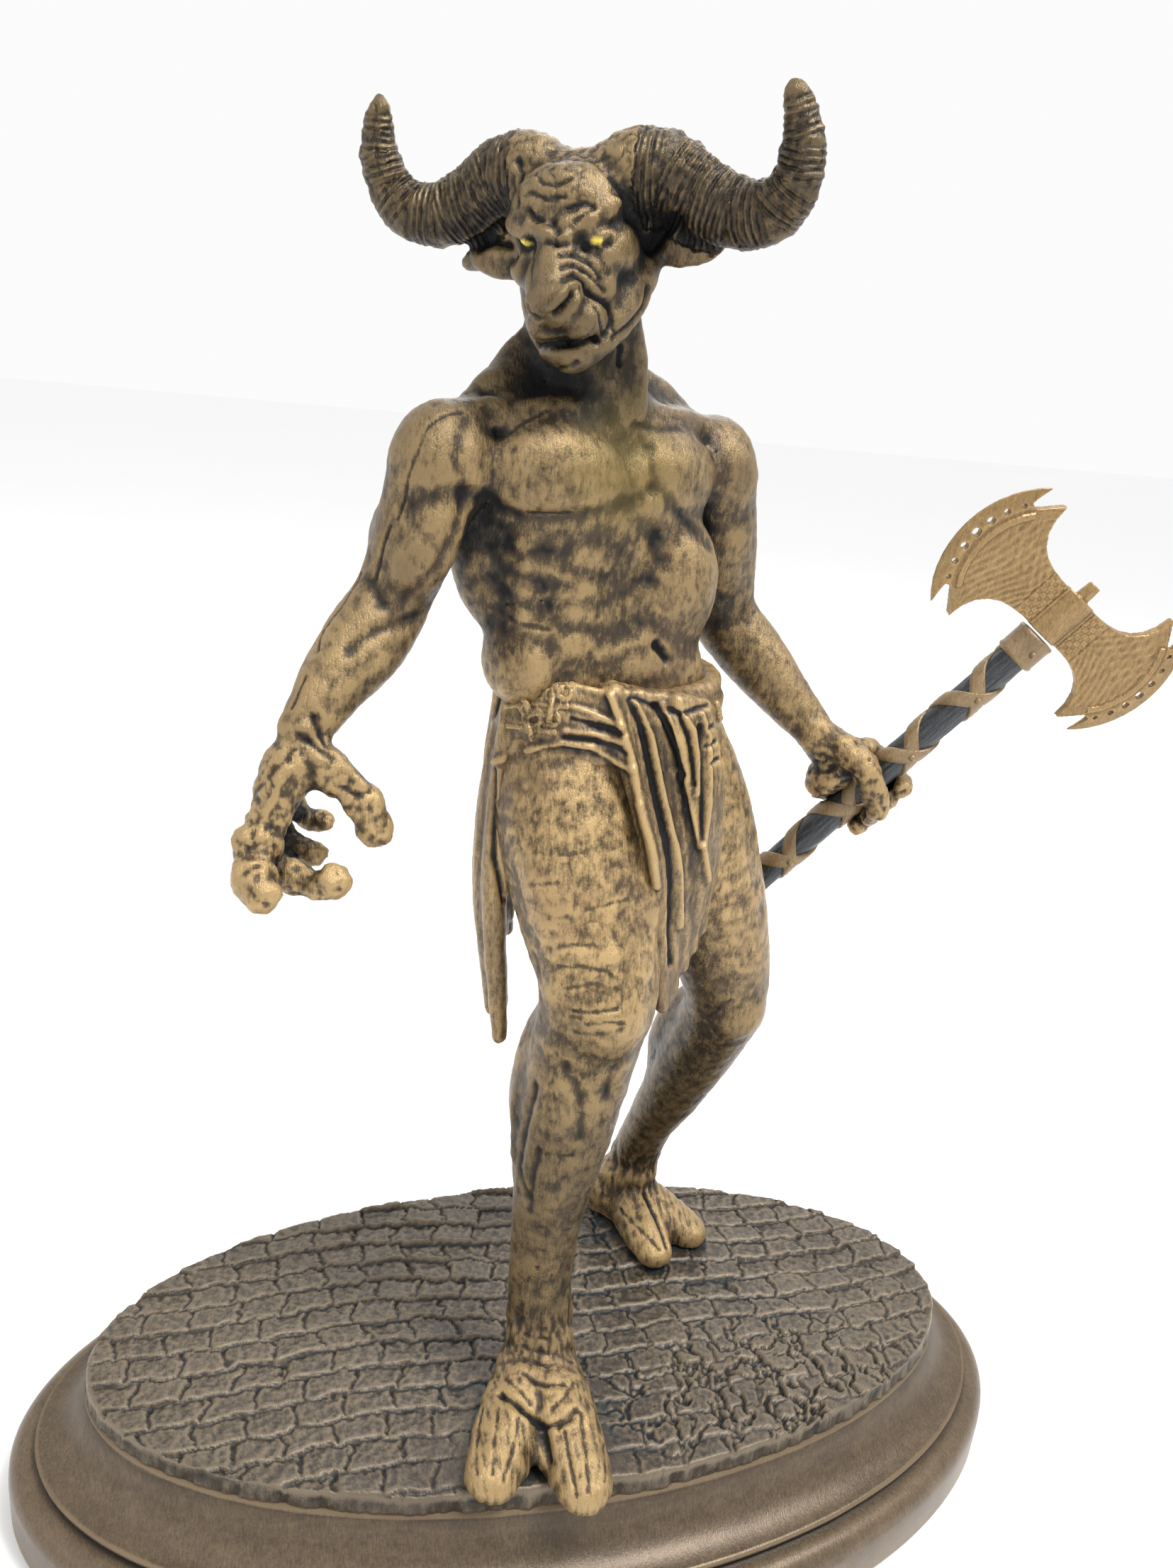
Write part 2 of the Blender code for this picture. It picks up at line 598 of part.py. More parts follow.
def make_handle(skin):
    """A wooden core with crossing straps, a stud at each crossing clear of the fist, and a collar at the top."""
    collar_foot = SHAFT_ABOVE_GRIP - COLLAR_HEIGHT
    pieces = [rod("core", SHAFT_RADIUS - STRAP_THICKNESS, -SHAFT_BELOW_GRIP, SHAFT_ABOVE_GRIP),
              strap("strap", 1), strap("strap", -1),
              rod("collar", SHAFT_RADIUS + STRAP_THICKNESS, collar_foot, SHAFT_ABOVE_GRIP),
              rod("foot", SHAFT_RADIUS, -SHAFT_BELOW_GRIP, -SHAFT_BELOW_GRIP + 2 * STRAP_THICKNESS)]
    fist_half = FIST_HALF_HEIGHT * UNIT + 2 * STUD_RADIUS
    crossings = [(STRAP_CROSSING + STRAP_PITCH * k / 2, k % 2) for k in range(-9, 10)]
    studs = [(z, back) for z, back in crossings if -SHAFT_BELOW_GRIP + STUD_RADIUS < z < collar_foot - STUD_RADIUS
             and abs(z) > fist_half]
    studs.append((SHAFT_ABOVE_GRIP - COLLAR_HEIGHT / 2, 0))
    for z, back in studs:
        stud = rod("stud", STUD_RADIUS, 0, SHAFT_RADIUS + STUD_RADIUS, 8, STUD_RADIUS * 0.6)
        stud.transform(Matrix.Translation((0, 0, z)) @ Matrix.Rotation(FRONT + back * math.pi, 4, "Z")
                       @ Matrix.Rotation(math.pi / 2, 4, "Y"))
        pieces.append(stud)
    shape = bmesh.new()
    for piece in pieces:
        shape.from_mesh(piece)
    mesh = bpy.data.meshes.new("axe_handle")
    shape.to_mesh(mesh)
    shape.free()
    obj = place("axe_handle", mesh, skin)
    skin_over(obj, HANDLE_SKIN, 1)
    thin_out(obj, HANDLE_TRIANGLES)
    obj.data.transform(AXE)
    return obj


def blade_edge():
    """Half of one blade's outline, from the socket out to the middle of its edge, as (x, z)."""
    sagitta = BLADE_REACH * 0.245
    radius = (BLADE_HALF_HEIGHT ** 2 + sagitta ** 2) / (2 * sagitta)
    centre = BLADE_REACH - radius
    sweep = math.asin(BLADE_HALF_HEIGHT / radius)
    points = []
    waist = SOCKET_HALF_HEIGHT * 0.96
    horn_x = BLADE_REACH * 0.60
    horn_z = BLADE_HALF_HEIGHT * 0.97
    for k in range(8):
        share = k / 7
        points.append((SOCKET_HALF_WIDTH * 0.8 + (horn_x - SOCKET_HALF_WIDTH * 0.8) * math.sin(share * math.pi / 2),
                       waist + (horn_z - waist) * (1 - math.cos(share * math.pi / 2)) ** 1.5))
    slot = radius * 0.86
    for turn in (0.80, 0.72, 0.80):
        reach = slot if turn != 0.72 else slot * 1.01
        points.append((centre + reach * math.cos(sweep * turn * 1.05), reach * math.sin(sweep * turn * 1.05)))
    points[-3] = (centre + radius * 0.80 * math.cos(sweep * 0.82), radius * 0.80 * math.sin(sweep * 0.82))
    points[-1] = (centre + radius * 0.90 * math.cos(sweep * 0.82), radius * 0.90 * math.sin(sweep * 0.82))
    for k in range(8):
        a = sweep * (1 - k / 7)
        points.append((centre + radius * math.cos(a), radius * math.sin(a)))
    return points, centre, radius, sweep


def plate(name, outlines, thickness):
    """A flat plate in the axe's own xz plane, from closed outlines; those inside another are holes."""
    flat = bpy.data.curves.new(name, "CURVE")
    flat.dimensions = "2D"
    flat.fill_mode = "BOTH"
    flat.extrude = thickness / 2
    for outline in outlines:
        line = flat.splines.new("POLY")
        line.points.add(len(outline) - 1)
        for point, (x, z) in zip(line.points, outline):
            point.co = (x, z, 0, 1)
        line.use_cyclic_u = True
    obj = bpy.data.objects.new(name, flat)
    bpy.data.collections["cutters"].objects.link(obj)
    mesh = bpy.data.meshes.new_from_object(obj.evaluated_get(bpy.context.evaluated_depsgraph_get()))
    bpy.data.objects.remove(obj)
    shape = bmesh.new()
    shape.from_mesh(mesh)
    bmesh.ops.remove_doubles(shape, verts=shape.verts[:], dist=1e-6)
    bmesh.ops.recalc_face_normals(shape, faces=shape.faces[:])
    shape.to_mesh(mesh)
    shape.free()
    mesh.transform(Matrix.Rotation(math.pi / 2, 4, "X"))
    return mesh


def make_axe_head(skin):
    """Two crescent blades cut from one pierced plate, a socket band, raised ribs and a knob on top."""
    half, centre, radius, sweep = blade_edge()
    lower = [(x, -z) for x, z in half[::-1][1:]]
    right = half + lower
    left = [(-x, -z) for x, z in right]
    outlines = [right + left]
    for k in range(BLADE_HOLES):
        share = 2 * k / (BLADE_HOLES - 1) - 1
        a = sweep * 0.66 * share
        size = 0.0010 * (1 - 0.45 * abs(share))
        for side in (1, -1):
            x = side * (centre + radius * 0.86 * math.cos(a))
            z = radius * 0.86 * math.sin(a)
            outlines.append([(x + size * math.cos(b), z + size * math.sin(b))
                             for b in (math.tau * n / 8 for n in range(8))])
    obj = place("axe_head", plate("axe_head", outlines, BLADE_THICKNESS), skin)
    for side in (1, -1):
        inner = [(side * (centre + radius * 0.77 * math.cos(sweep * t)), radius * 0.77 * math.sin(sweep * t))
                 for t in (k / 5 - 0.8 for k in range(9))]
        outer = [(side * (centre + radius * 0.71 * math.cos(sweep * t)), radius * 0.71 * math.sin(sweep * t))
                 for t in (0.8 - k / 5 for k in range(9))]
        combine(obj, helper("rib", plate("rib", [inner + outer], BLADE_THICKNESS + 0.0010)), "UNION")
    block = rod("socket", SOCKET_HALF_WIDTH, -SOCKET_HALF_HEIGHT, SOCKET_HALF_HEIGHT, 16)
    block.transform(Matrix.Diagonal((1, SOCKET_THICKNESS / 2 / SOCKET_HALF_WIDTH, 1, 1)))
    combine(obj, helper("socket", block), "UNION")
    top = rod("knob", KNOB_RADIUS, SOCKET_HALF_HEIGHT - KNOB_RADIUS, SOCKET_HALF_HEIGHT + 2 * KNOB_RADIUS, 10,
              KNOB_RADIUS * 0.8)
    combine(obj, helper("knob", top), "UNION")
    shape = bmesh.new()
    shape.from_mesh(obj.data)
    bmesh.ops.dissolve_limit(shape, angle_limit=math.radians(1), verts=shape.verts[:], edges=shape.edges[:])
    bmesh.ops.triangulate(shape, faces=shape.faces[:])
    shape.to_mesh(obj.data)
    shape.free()
    obj.data.transform(AXE @ Matrix.Translation((0, 0, SHAFT_ABOVE_GRIP + GAP + SOCKET_HALF_HEIGHT)))
    return obj


def main():
    for old in list(bpy.data.objects):
        bpy.data.objects.remove(old)
    for name in ("minotaur_statue", "cutters"):
        bpy.context.scene.collection.children.link(bpy.data.collections.new(name))
    bronze = material("patinated_bronze_paint", (0.25, 0.17, 0.08), 0.45, 0.35)
    stone = material("painted_cobbles", (0.17, 0.12, 0.07), 0.6, 0.2)
    brown = material("brown_plinth", (0.16, 0.09, 0.05), 0.4, 0.3)
    wrap = material("strapped_handle", (0.14, 0.10, 0.06), 0.55, 0.15)
    brass = material("brass_axe", (0.35, 0.23, 0.09), 0.4, 0.5)
    place("plinth", oval_stack("plinth", plinth_levels()), brown)
    make_ground(stone)
    make_figure(bronze)
    make_handle(wrap)
    make_axe_head(brass)


main()
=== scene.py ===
"""Looks of the minotaur statue: skin, cobbles, mouldings, straps, axe relief and aged bronze paint."""

import math

import bmesh
import bpy
import numpy as np
from mathutils import Euler, Matrix, Vector, noise
from mathutils.bvhtree import BVHTree
from mathutils.kdtree import KDTree


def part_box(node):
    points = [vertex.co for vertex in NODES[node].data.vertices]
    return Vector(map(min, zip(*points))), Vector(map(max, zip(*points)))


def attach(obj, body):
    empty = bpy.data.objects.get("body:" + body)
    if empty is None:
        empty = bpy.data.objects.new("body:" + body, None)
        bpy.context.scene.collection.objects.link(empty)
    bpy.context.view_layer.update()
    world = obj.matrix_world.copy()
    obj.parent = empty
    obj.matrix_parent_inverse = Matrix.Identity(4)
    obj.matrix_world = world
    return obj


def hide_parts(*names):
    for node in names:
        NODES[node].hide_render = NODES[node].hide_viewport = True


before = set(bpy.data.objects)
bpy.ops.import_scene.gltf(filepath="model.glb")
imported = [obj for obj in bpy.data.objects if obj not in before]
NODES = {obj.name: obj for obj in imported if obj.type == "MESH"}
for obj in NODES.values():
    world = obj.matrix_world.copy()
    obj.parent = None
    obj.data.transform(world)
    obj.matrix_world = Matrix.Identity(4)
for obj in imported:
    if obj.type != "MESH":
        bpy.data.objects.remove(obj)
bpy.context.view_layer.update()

PLINTH_LOW, PLINTH_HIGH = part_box("plinth")
GROUND_LOW, GROUND_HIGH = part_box("cobbled_ground")
PLINTH_HALF = ((PLINTH_HIGH[0] - PLINTH_LOW[0]) / 2, (PLINTH_HIGH[1] - PLINTH_LOW[1]) / 2)
GROUND_HALF = ((GROUND_HIGH[0] - GROUND_LOW[0]) / 2, (GROUND_HIGH[1] - GROUND_LOW[1]) / 2)

# The figure is modelled in units of 1/271 of its own height, about a millimetre each, from the ground up
UNIT = 0.271 / 271
FIGURE_BASE = 0.0366
FIGURE_PLACE = Matrix.Translation((0, 0, FIGURE_BASE)) @ Matrix.Scale(UNIT, 4)
FIGURE_SKIN = 0.58
FIGURE_TRIANGLES = 190000
SHAFT_RADIUS = 0.0040

# The axe: where the left fist holds it, and its blade axis and shaft
GRIP = (68.8, 7.2, 142)
BLADE_WAY = Vector((0.826, 0, -0.563)).normalized()
SHAFT_WAY = Vector((0.541, -0.276, 0.794)).normalized()
AXE_TURN = Matrix((BLADE_WAY, SHAFT_WAY.cross(BLADE_WAY), SHAFT_WAY)).transposed().to_4x4()
FIST = Matrix.Translation(GRIP) @ AXE_TURN
AXE = Matrix.Translation(FIGURE_PLACE @ Vector(GRIP)) @ AXE_TURN
SHAFT_BELOW_GRIP = 0.0435
SHAFT_ABOVE_GRIP = 0.0515

# The photograph's view
VIEW_SIZE = (1655, 2212)
VIEW_FOCAL = 1662
VIEW_YAW, VIEW_PITCH, VIEW_ROLL = (math.radians(a) for a in (15.5, 19.1, 5.6))
VIEW_FROM = Vector((-0.0669, -0.2339, 0.2651))


def view_axes():
    """Right, up and forward of the camera."""
    forward = Vector((math.sin(VIEW_YAW) * math.cos(VIEW_PITCH), math.cos(VIEW_YAW) * math.cos(VIEW_PITCH),
                      -math.sin(VIEW_PITCH)))
    level = Vector((math.cos(VIEW_YAW), -math.sin(VIEW_YAW), 0))
    upright = level.cross(forward)
    right = level * math.cos(VIEW_ROLL) + upright * math.sin(VIEW_ROLL)
    return right, upright * math.cos(VIEW_ROLL) - level * math.sin(VIEW_ROLL), forward


def link(obj):
    """Adds an object to the scene and returns it."""
    bpy.context.scene.collection.objects.link(obj)
    return obj


def settle(obj):
    """Turns what an object's modifiers show into its own mesh."""
    shown = obj.evaluated_get(bpy.context.evaluated_depsgraph_get())
    mesh = bpy.data.meshes.new_from_object(shown)
    obj.modifiers.clear()
    obj.data = mesh
    return mesh


def skin_over(obj, voxel, rounds):
    """One smooth skin over overlapping lumps."""
    wrap = obj.modifiers.new("skin", "REMESH")
    wrap.mode = "VOXEL"
    wrap.voxel_size = voxel
    soften = obj.modifiers.new("soft", "SMOOTH")
    soften.factor = 0.5
    soften.iterations = rounds
    settle(obj)


def thin_out(obj, triangles):
    """Fewer, larger triangles, where the surface is plain."""
    obj.data.calc_loop_triangles()
    fewer = obj.modifiers.new("fewer", "DECIMATE")
    fewer.ratio = min(1, triangles / len(obj.data.loop_triangles))
    settle(obj)


# Overlapping lumps under one skin

def ball_template(segments):
    """A ball of radius 1, as corners and faces."""
    ball = bmesh.new()
    bmesh.ops.create_uvsphere(ball, u_segments=segments, v_segments=segments * 2 // 3, radius=1)
    corners = np.array([v.co[:] for v in ball.verts])
    faces = [[v.index for v in f.verts] for f in ball.faces]
    ball.free()
    return corners, faces


def smooth_run(stations, step):
    """Points and radii on a smooth curve through stations (x, y, z, radius), a share of the radius apart."""
    marks = [Vector(s) for s in stations]
    marks = [2 * marks[0] - marks[1]] + marks + [2 * marks[-1] - marks[-2]]
    found = []
    for a, b, c, d in zip(marks, marks[1:], marks[2:], marks[3:]):
        reach = (c - b).to_3d().length
        count = max(1, math.ceil(reach / (step * min(b[3], c[3]))))
        for k in range(count):
            t = k / count
            found.append(0.5 * (2 * b + (c - a) * t + (2 * a - 5 * b + 4 * c - d) * t ** 2
                                + (3 * b - a - 3 * c + d) * t ** 3))
    return found + [marks[-2]]


class Clay:
    """Lumps gathered in one mesh, each placed in the frame that is set when it is added."""

    def __init__(self):
        self.templates = {"fine": ball_template(20), "coarse": ball_template(12)}
        self.corners = []
        self.faces = []
        self.count = 0
        self.frame = Matrix.Identity(4)

    def lump(self, matrix, detail="fine"):
        """One ball, squeezed and placed by the matrix."""
        corners, faces = self.templates[detail]
        where = np.array(self.frame @ matrix)
        self.corners.append(corners @ where[:3, :3].T + where[:3, 3])
        self.faces += [[i + self.count for i in face] for face in faces]
        self.count += len(corners)

    def ball(self, at, size, turn=(0, 0, 0), both=False):
        """An ellipsoid with half sizes, turned by degrees about x, y and z; both adds its mirror image."""
        for side in (1, -1) if both else (1,):
            angles = [math.radians(a) for a in (turn[0], side * turn[1], side * turn[2])]
            spin = Euler(angles).to_matrix().to_4x4()
            self.lump(Matrix.Translation((side * at[0], at[1], at[2])) @ spin @ Matrix.Diagonal((*size, 1)))

    def muscle(self, a, b, width, depth=None, both=False):
        """A spindle from a to b, a little longer than that."""
        for side in (1, -1) if both else (1,):
            start = Vector((side * a[0], a[1], a[2]))
            end = Vector((side * b[0], b[1], b[2]))
            along = end - start
            spin = along.to_track_quat("Z", "Y").to_matrix().to_4x4()
            size = Matrix.Diagonal((width, depth or width, along.length * 0.56, 1))
            self.lump(Matrix.Translation((start + end) / 2) @ spin @ size)

    def sweep(self, stations, both=False, step=0.3):
        """A round limb through stations (x, y, z, radius)."""
        for side in (1, -1) if both else (1,):
            for p in smooth_run([(side * s[0], *s[1:]) for s in stations], step):
                self.lump(Matrix.Translation(p.to_3d()) @ Matrix.Scale(p[3], 4), "coarse")

    def mesh(self, name):
        """All the lumps as one mesh."""
        made = bpy.data.meshes.new(name)
        made.from_pydata(np.concatenate(self.corners).tolist(), [], self.faces)
        return made


def frame_at(origin, turn=0, nod=0, tilt=0):
    """A frame turned about the upright, tilted sideways and nodded, in degrees."""
    return (Matrix.Translation(origin) @ Matrix.Rotation(math.radians(turn), 4, "Z")
            @ Matrix.Rotation(math.radians(tilt), 4, "Y") @ Matrix.Rotation(math.radians(nod), 4, "X"))


WORLD = Matrix.Identity(4)
CHEST = frame_at((-7, 5, 196), 22)
PELVIS = frame_at((4, 6, 158), 15)
FACE = frame_at((-14, -3, 251.5), -32.5, 10, -12)
CROWN = frame_at((-14, -3, 251.5), -35.5, 10, -2.5)


def torso(clay):
    """The trunk, from the shoulders to the hips."""
    clay.frame = CHEST
    clay.ball((0, 1, 3), (24, 14.5, 23))
    clay.ball((0, 2, 18), (27, 11, 10))
    clay.ball((12.5, -8.4, 12.5), (15.5, 8, 11.5), (8, -8, 12), both=True)
    clay.ball((0, -2.5, 21), (25, 9, 9))
    clay.ball((9, -1, -14), (14.5, 12.5, 18))
    clay.ball((20, 5, 0), (7.5, 9.5, 19), (0, 8, 0), both=True)
    clay.muscle((6, 5, 33), (29, 3, 20), 5.5, 7.5, both=True)
    clay.sweep([(3, -7, 26, 2.6), (12, -7.5, 26, 2.6), (22, -4, 25, 3), (30, -1, 23, 3.5)], both=True)
    clay.ball((14, 9, 12), (10, 6, 12), both=True)
    clay.ball((6, 10, -8), (5, 6, 24), both=True)
    for row, z in enumerate((-1, -10, -19)):
        clay.ball((5.8, -10.2 + row * 0.4, z), (6.6, 3.6, 5.6), both=True)
    clay.ball((0, -8.4, -28), (10, 4.5, 9))
    for rib in range(4):
        clay.ball((18 - rib * 0.8, -6 + rib * 0.8, 1 - 5 * rib), (3.2, 5, 2.8), (0, -20, 30), both=True)
    clay.ball((0, 0, -17), (20, 12.5, 16))
    clay.ball((13.8, -1, -24), (7, 10.5, 10), both=True)
    clay.frame = WORLD
    clay.ball((-1, 5.5, 172), (20.5, 13, 14))
    clay.ball((11.5, 7, 188), (13, 13, 17))
    clay.ball((8, 7, 169), (16, 12.5, 12))
    clay.frame = PELVIS
    clay.ball((0, 1, 2), (23, 14.5, 14))
    clay.ball((10.5, 9, -7), (11.5, 10, 12), both=True)
    clay.ball((0, -4, -10), (9, 9, 9))


def neck(clay):
    """The neck and its cords."""
    clay.frame = WORLD
    clay.sweep([(-6, 7, 214, 12), (-8, 6, 226, 11.5), (-10.5, 5, 238, 11.5), (-12, 3, 248, 11.5)])
    clay.muscle((-19, 1, 243), (-3, -6, 221), 3.4)
    clay.muscle((-3, 3, 243), (0, -5, 221), 3.4)
    clay.muscle((-17, 6, 236), (-28, 4, 219), 4.2, 6)


def right_arm(clay):
    """The open arm, from shoulder to wrist."""
    clay.frame = WORLD
    clay.ball((-38.5, -7.5, 210), (10, 10.5, 12.5), (0, 12, 20))
    clay.sweep([(-39, -8, 209, 9), (-42, -7, 197, 8.6), (-46, -6, 184, 7.6)])
    clay.muscle((-37, -12, 208), (-43, -11, 186), 6.6, 6)
    clay.muscle((-40, -14.5, 200), (-45, -13.5, 186), 4.8)
    clay.muscle((-41, -1, 207), (-47, 0, 187), 6.6, 6.5)
    clay.sweep([(-46, -6, 184, 8), (-51, -10.5, 177, 8.6), (-57, -15, 170, 7), (-63, -20, 162, 4.8)])
    clay.muscle((-45, -8, 190), (-58, -16, 168), 5.6)
    clay.muscle((-43, -6, 182), (-57, -13, 168), 5)


def right_hand(clay):
    """Open, its fingers half curled."""
    clay.frame = WORLD
    clay.ball((-66, -22, 153), (5.2, 5.5, 9), (0, 18, 0))
    clay.sweep([(-62, -21, 159, 4.2), (-57, -24, 154.5, 3.8), (-52.5, -25, 150.5, 3.3),
                (-49.6, -25, 145, 3.5)])
    clay.sweep([(-67, -24, 150, 4), (-70, -26, 143, 3.8), (-71.5, -29, 138.5, 3.6), (-69.8, -34, 135, 3.9)])
    clay.sweep([(-68, -20, 148, 3.8), (-70, -20, 140, 3.4), (-66, -25, 135.5, 3.1), (-60, -29, 134.5, 3),
                (-56.5, -31, 136, 3.1)])
    clay.sweep([(-68, -17, 150, 3.6), (-69, -14, 143, 3.2), (-65, -17, 138, 2.9), (-60, -20, 137, 2.8)])
    clay.sweep([(-66, -15, 152, 3.2), (-66, -10, 146, 2.8), (-62, -11, 141, 2.5), (-58, -13, 141, 2.4)])
    for joint, size in (((-70.6, -27, 142), 4.7), ((-71.2, -31.5, 137), 4.5), ((-70.2, -20, 139.5), 4),
                        ((-58, -23.5, 155), 4.5), ((-51.5, -25.3, 149.5), 4.1), ((-49.3, -25, 144), 3.9),
                        ((-64, -26.5, 135), 3.7), ((-57, -30.6, 135.8), 3.6), ((-68, -14.5, 142.5), 3.7)):
        clay.ball(joint, (size, size * 0.9, size))


def left_arm(clay):
    """The arm that holds the axe, from shoulder to wrist."""
    clay.frame = WORLD
    clay.ball((24.5, 17, 211), (9.5, 10.5, 12.5), (0, -10, 20))
    clay.sweep([(25, 18, 212, 9), (29.5, 21, 196, 8.8), (33.5, 25, 178, 7.8)])
    clay.muscle((25, 14, 208), (31, 19, 184), 6.4)
    clay.muscle((30, 24, 206), (35.5, 28, 184), 6.4)
    clay.sweep([(33.5, 25, 178, 8), (40, 21, 171, 8.2), (48.5, 15.5, 161.5, 6.6), (55.5, 11, 154, 4.9)])


def left_fist(clay):
    """Closed round the shaft, in the axe's own frame."""
    clay.frame = FIST
    clay.sweep([(-18, 3.3, 1.3, 4.9), (-12, 2.5, 1, 5.4), (-9, 2, 0, 5.6)])
    clay.ball((-8.5, 1.5, -1.5), (4.6, 6, 9.2))
    finger_radius = 2.9
    curl = SHAFT_RADIUS / UNIT + finger_radius - 0.4
    for up, last in ((6.2, 215), (1.2, 228), (-3.8, 236), (-8.4, 232)):
        run = []
        for turn in range(30, last + 1, 34):
            a = math.radians(turn)
            run.append((-curl * math.cos(a), curl * math.sin(a), up, finger_radius - (turn - 30) * 0.002))
        clay.sweep(run)
    clay.sweep([(-12, -1, 4, 3.9), (-7.5, -5, 4.6, 3.6), (-2.5, -7, 2.6, 3.3), (2.4, -7.2, -0.6, 3.2)])


def right_leg(clay):
    """The forward one."""
    clay.frame = WORLD
    clay.sweep([(-8, 4, 152, 15.5), (-6, -3, 137, 16.5), (-3, -10, 120, 15), (0.5, -15, 108, 14),
                (0.5, -17, 101, 13.5)])
    clay.muscle((-13, -4, 148), (-8, -22, 112), 8)
    clay.muscle((2, -4, 146), (7, -20, 110), 8)
    clay.ball((1, -26.5, 101), (8, 5, 9))
    clay.ball((8, -19, 106), (5.5, 6, 8))
    clay.ball((-8.5, -20, 107), (5, 6, 8))
    clay.ball((2, -22, 90), (6, 6, 9))
    clay.sweep([(0.5, -17, 101, 13), (-0.8, -15, 88, 12.6), (-3, -16, 70, 11.2), (-6, -18, 50, 9),
                (-7, -19, 32, 7.8), (-6.5, -20, 20, 8.2)])
    clay.muscle((-4, -6, 96), (-9, -9, 58), 8.5, 9)
    clay.muscle((-10, -10, 76), (-10, -13, 46), 5)


def left_leg(clay):
    """The one behind."""
    clay.frame = WORLD
    clay.sweep([(17, 10, 152, 15), (24, 8, 136, 16), (32, 6, 116, 14), (38, 5, 98, 12), (40.5, 6, 87, 10.5)])
    clay.ball((41, -1.5, 87), (7, 5, 8))
    clay.sweep([(41, 6, 85, 10.5), (39.5, 13, 70, 9.8), (36.5, 22, 50, 8.6), (34, 30, 33, 7),
                (33, 36, 19, 7.2)])
    clay.muscle((39, 18, 82), (36, 31, 50), 8)


def hoof(clay, fetlock, toes, width, height):
    """A cloven hoof, from the fetlock to its two toe tips on the ground."""
    clay.frame = WORLD
    top = Vector(fetlock)
    for tip in toes:
        toe = Vector((*tip, 0))
        along = (toe - top.to_2d().to_3d()).normalized()
        turn = along.to_track_quat("Y", "Z").to_matrix().to_4x4()
        heel = toe - along * width * 1.9
        for k in range(9):
            share = k / 8
            at = heel.lerp(toe - along * 3, share)
            tall = height * (1 - 0.55 * share ** 1.6)
            half = width / 2 * (1 - 0.28 * share ** 3)
            clay.lump(Matrix.Translation((at.x, at.y, tall * 0.35)) @ turn
                      @ Matrix.Diagonal((half, half, tall * 0.75, 1)))
        clay.sweep([(*top, width * 0.45), (*heel.lerp(top, 0.35).to_2d(), height * 0.85, width * 0.45)])


def head(clay):
    """In the face's own frame: x to its left, -y out of the face, z up."""
    clay.frame = FACE
    clay.ball((0, 3, 3), (11.5, 13, 10.5))
    clay.ball((0, -6, 5), (10.5, 7.5, 8))
    clay.muscle((1.5, -13, 1.2), (10.5, -8.5, 5), 2.2, both=True)
    clay.ball((6.2, -10, -0.3), (2.8, 2.6, 1.9), both=True)
    clay.sweep([(0, -11, 2, 4), (0, -14.5, -2.5, 4), (0, -18.3, -7, 4.3), (0, -19.8, -9, 4.2)])
    clay.ball((0, -21, -8.6), (5.4, 3.6, 3.2))
    clay.ball((3.4, -15.8, -12.4), (4, 5.2, 3.5), both=True)
    clay.ball((0, -9, -7), (8.6, 9.5, 8))
    clay.ball((8.4, -5, -2.5), (3.6, 7.5, 4.4), both=True)
    clay.sweep([(9, 1, -7, 4.8), (7.2, -6, -12.5, 4.2), (3.8, -12, -16.8, 3.6), (0, -14, -18.2, 3.8)],
               both=True)
    clay.ball((0, -14.8, -18.8), (4.4, 4.4, 3.4))
    clay.sweep([(11, 3, 0, 3), (16, 4.5, 1, 3.8), (21, 6, 0.5, 3.2), (26, 7, -0.5, 1.6)], both=True)
    clay.ball((18.5, 2.6, -1.6), (9, 2.4, 6.2), (0, 8, 0))
    clay.ball((-17, 4, -1.4), (7.5, 2.2, 3.4), (0, 14, 0))
    clay.ball((0, 1, 8.5), (13.5, 9, 6.5))
    clay.ball((0, -7, 7), (9.5, 5.5, 5.5))
    clay.ball((3.4, -11.3, -0.4), (3, 2.6, 2.6), both=True)
    clay.frame = CROWN
    clay.ball((0, 0.5, 8.5), (9, 7, 5.5))


HORN = ((4.5, 1, 8.5, 6.2), (10, 1, 11, 6.9), (16, 2, 10.5, 6.7), (22, 2.5, 7, 6.2), (29, 2, 4.2, 5.8),
        (35.5, 1, 4.8, 5.2), (39.5, 0, 9.5, 4.3), (40.5, -1, 15.5, 3.5), (39, -2, 22, 2.2))


def horns(clay):
    """Out from a heavy base, down, and up again to the tips."""
    clay.frame = CROWN
    clay.sweep(HORN, both=True, step=0.2)


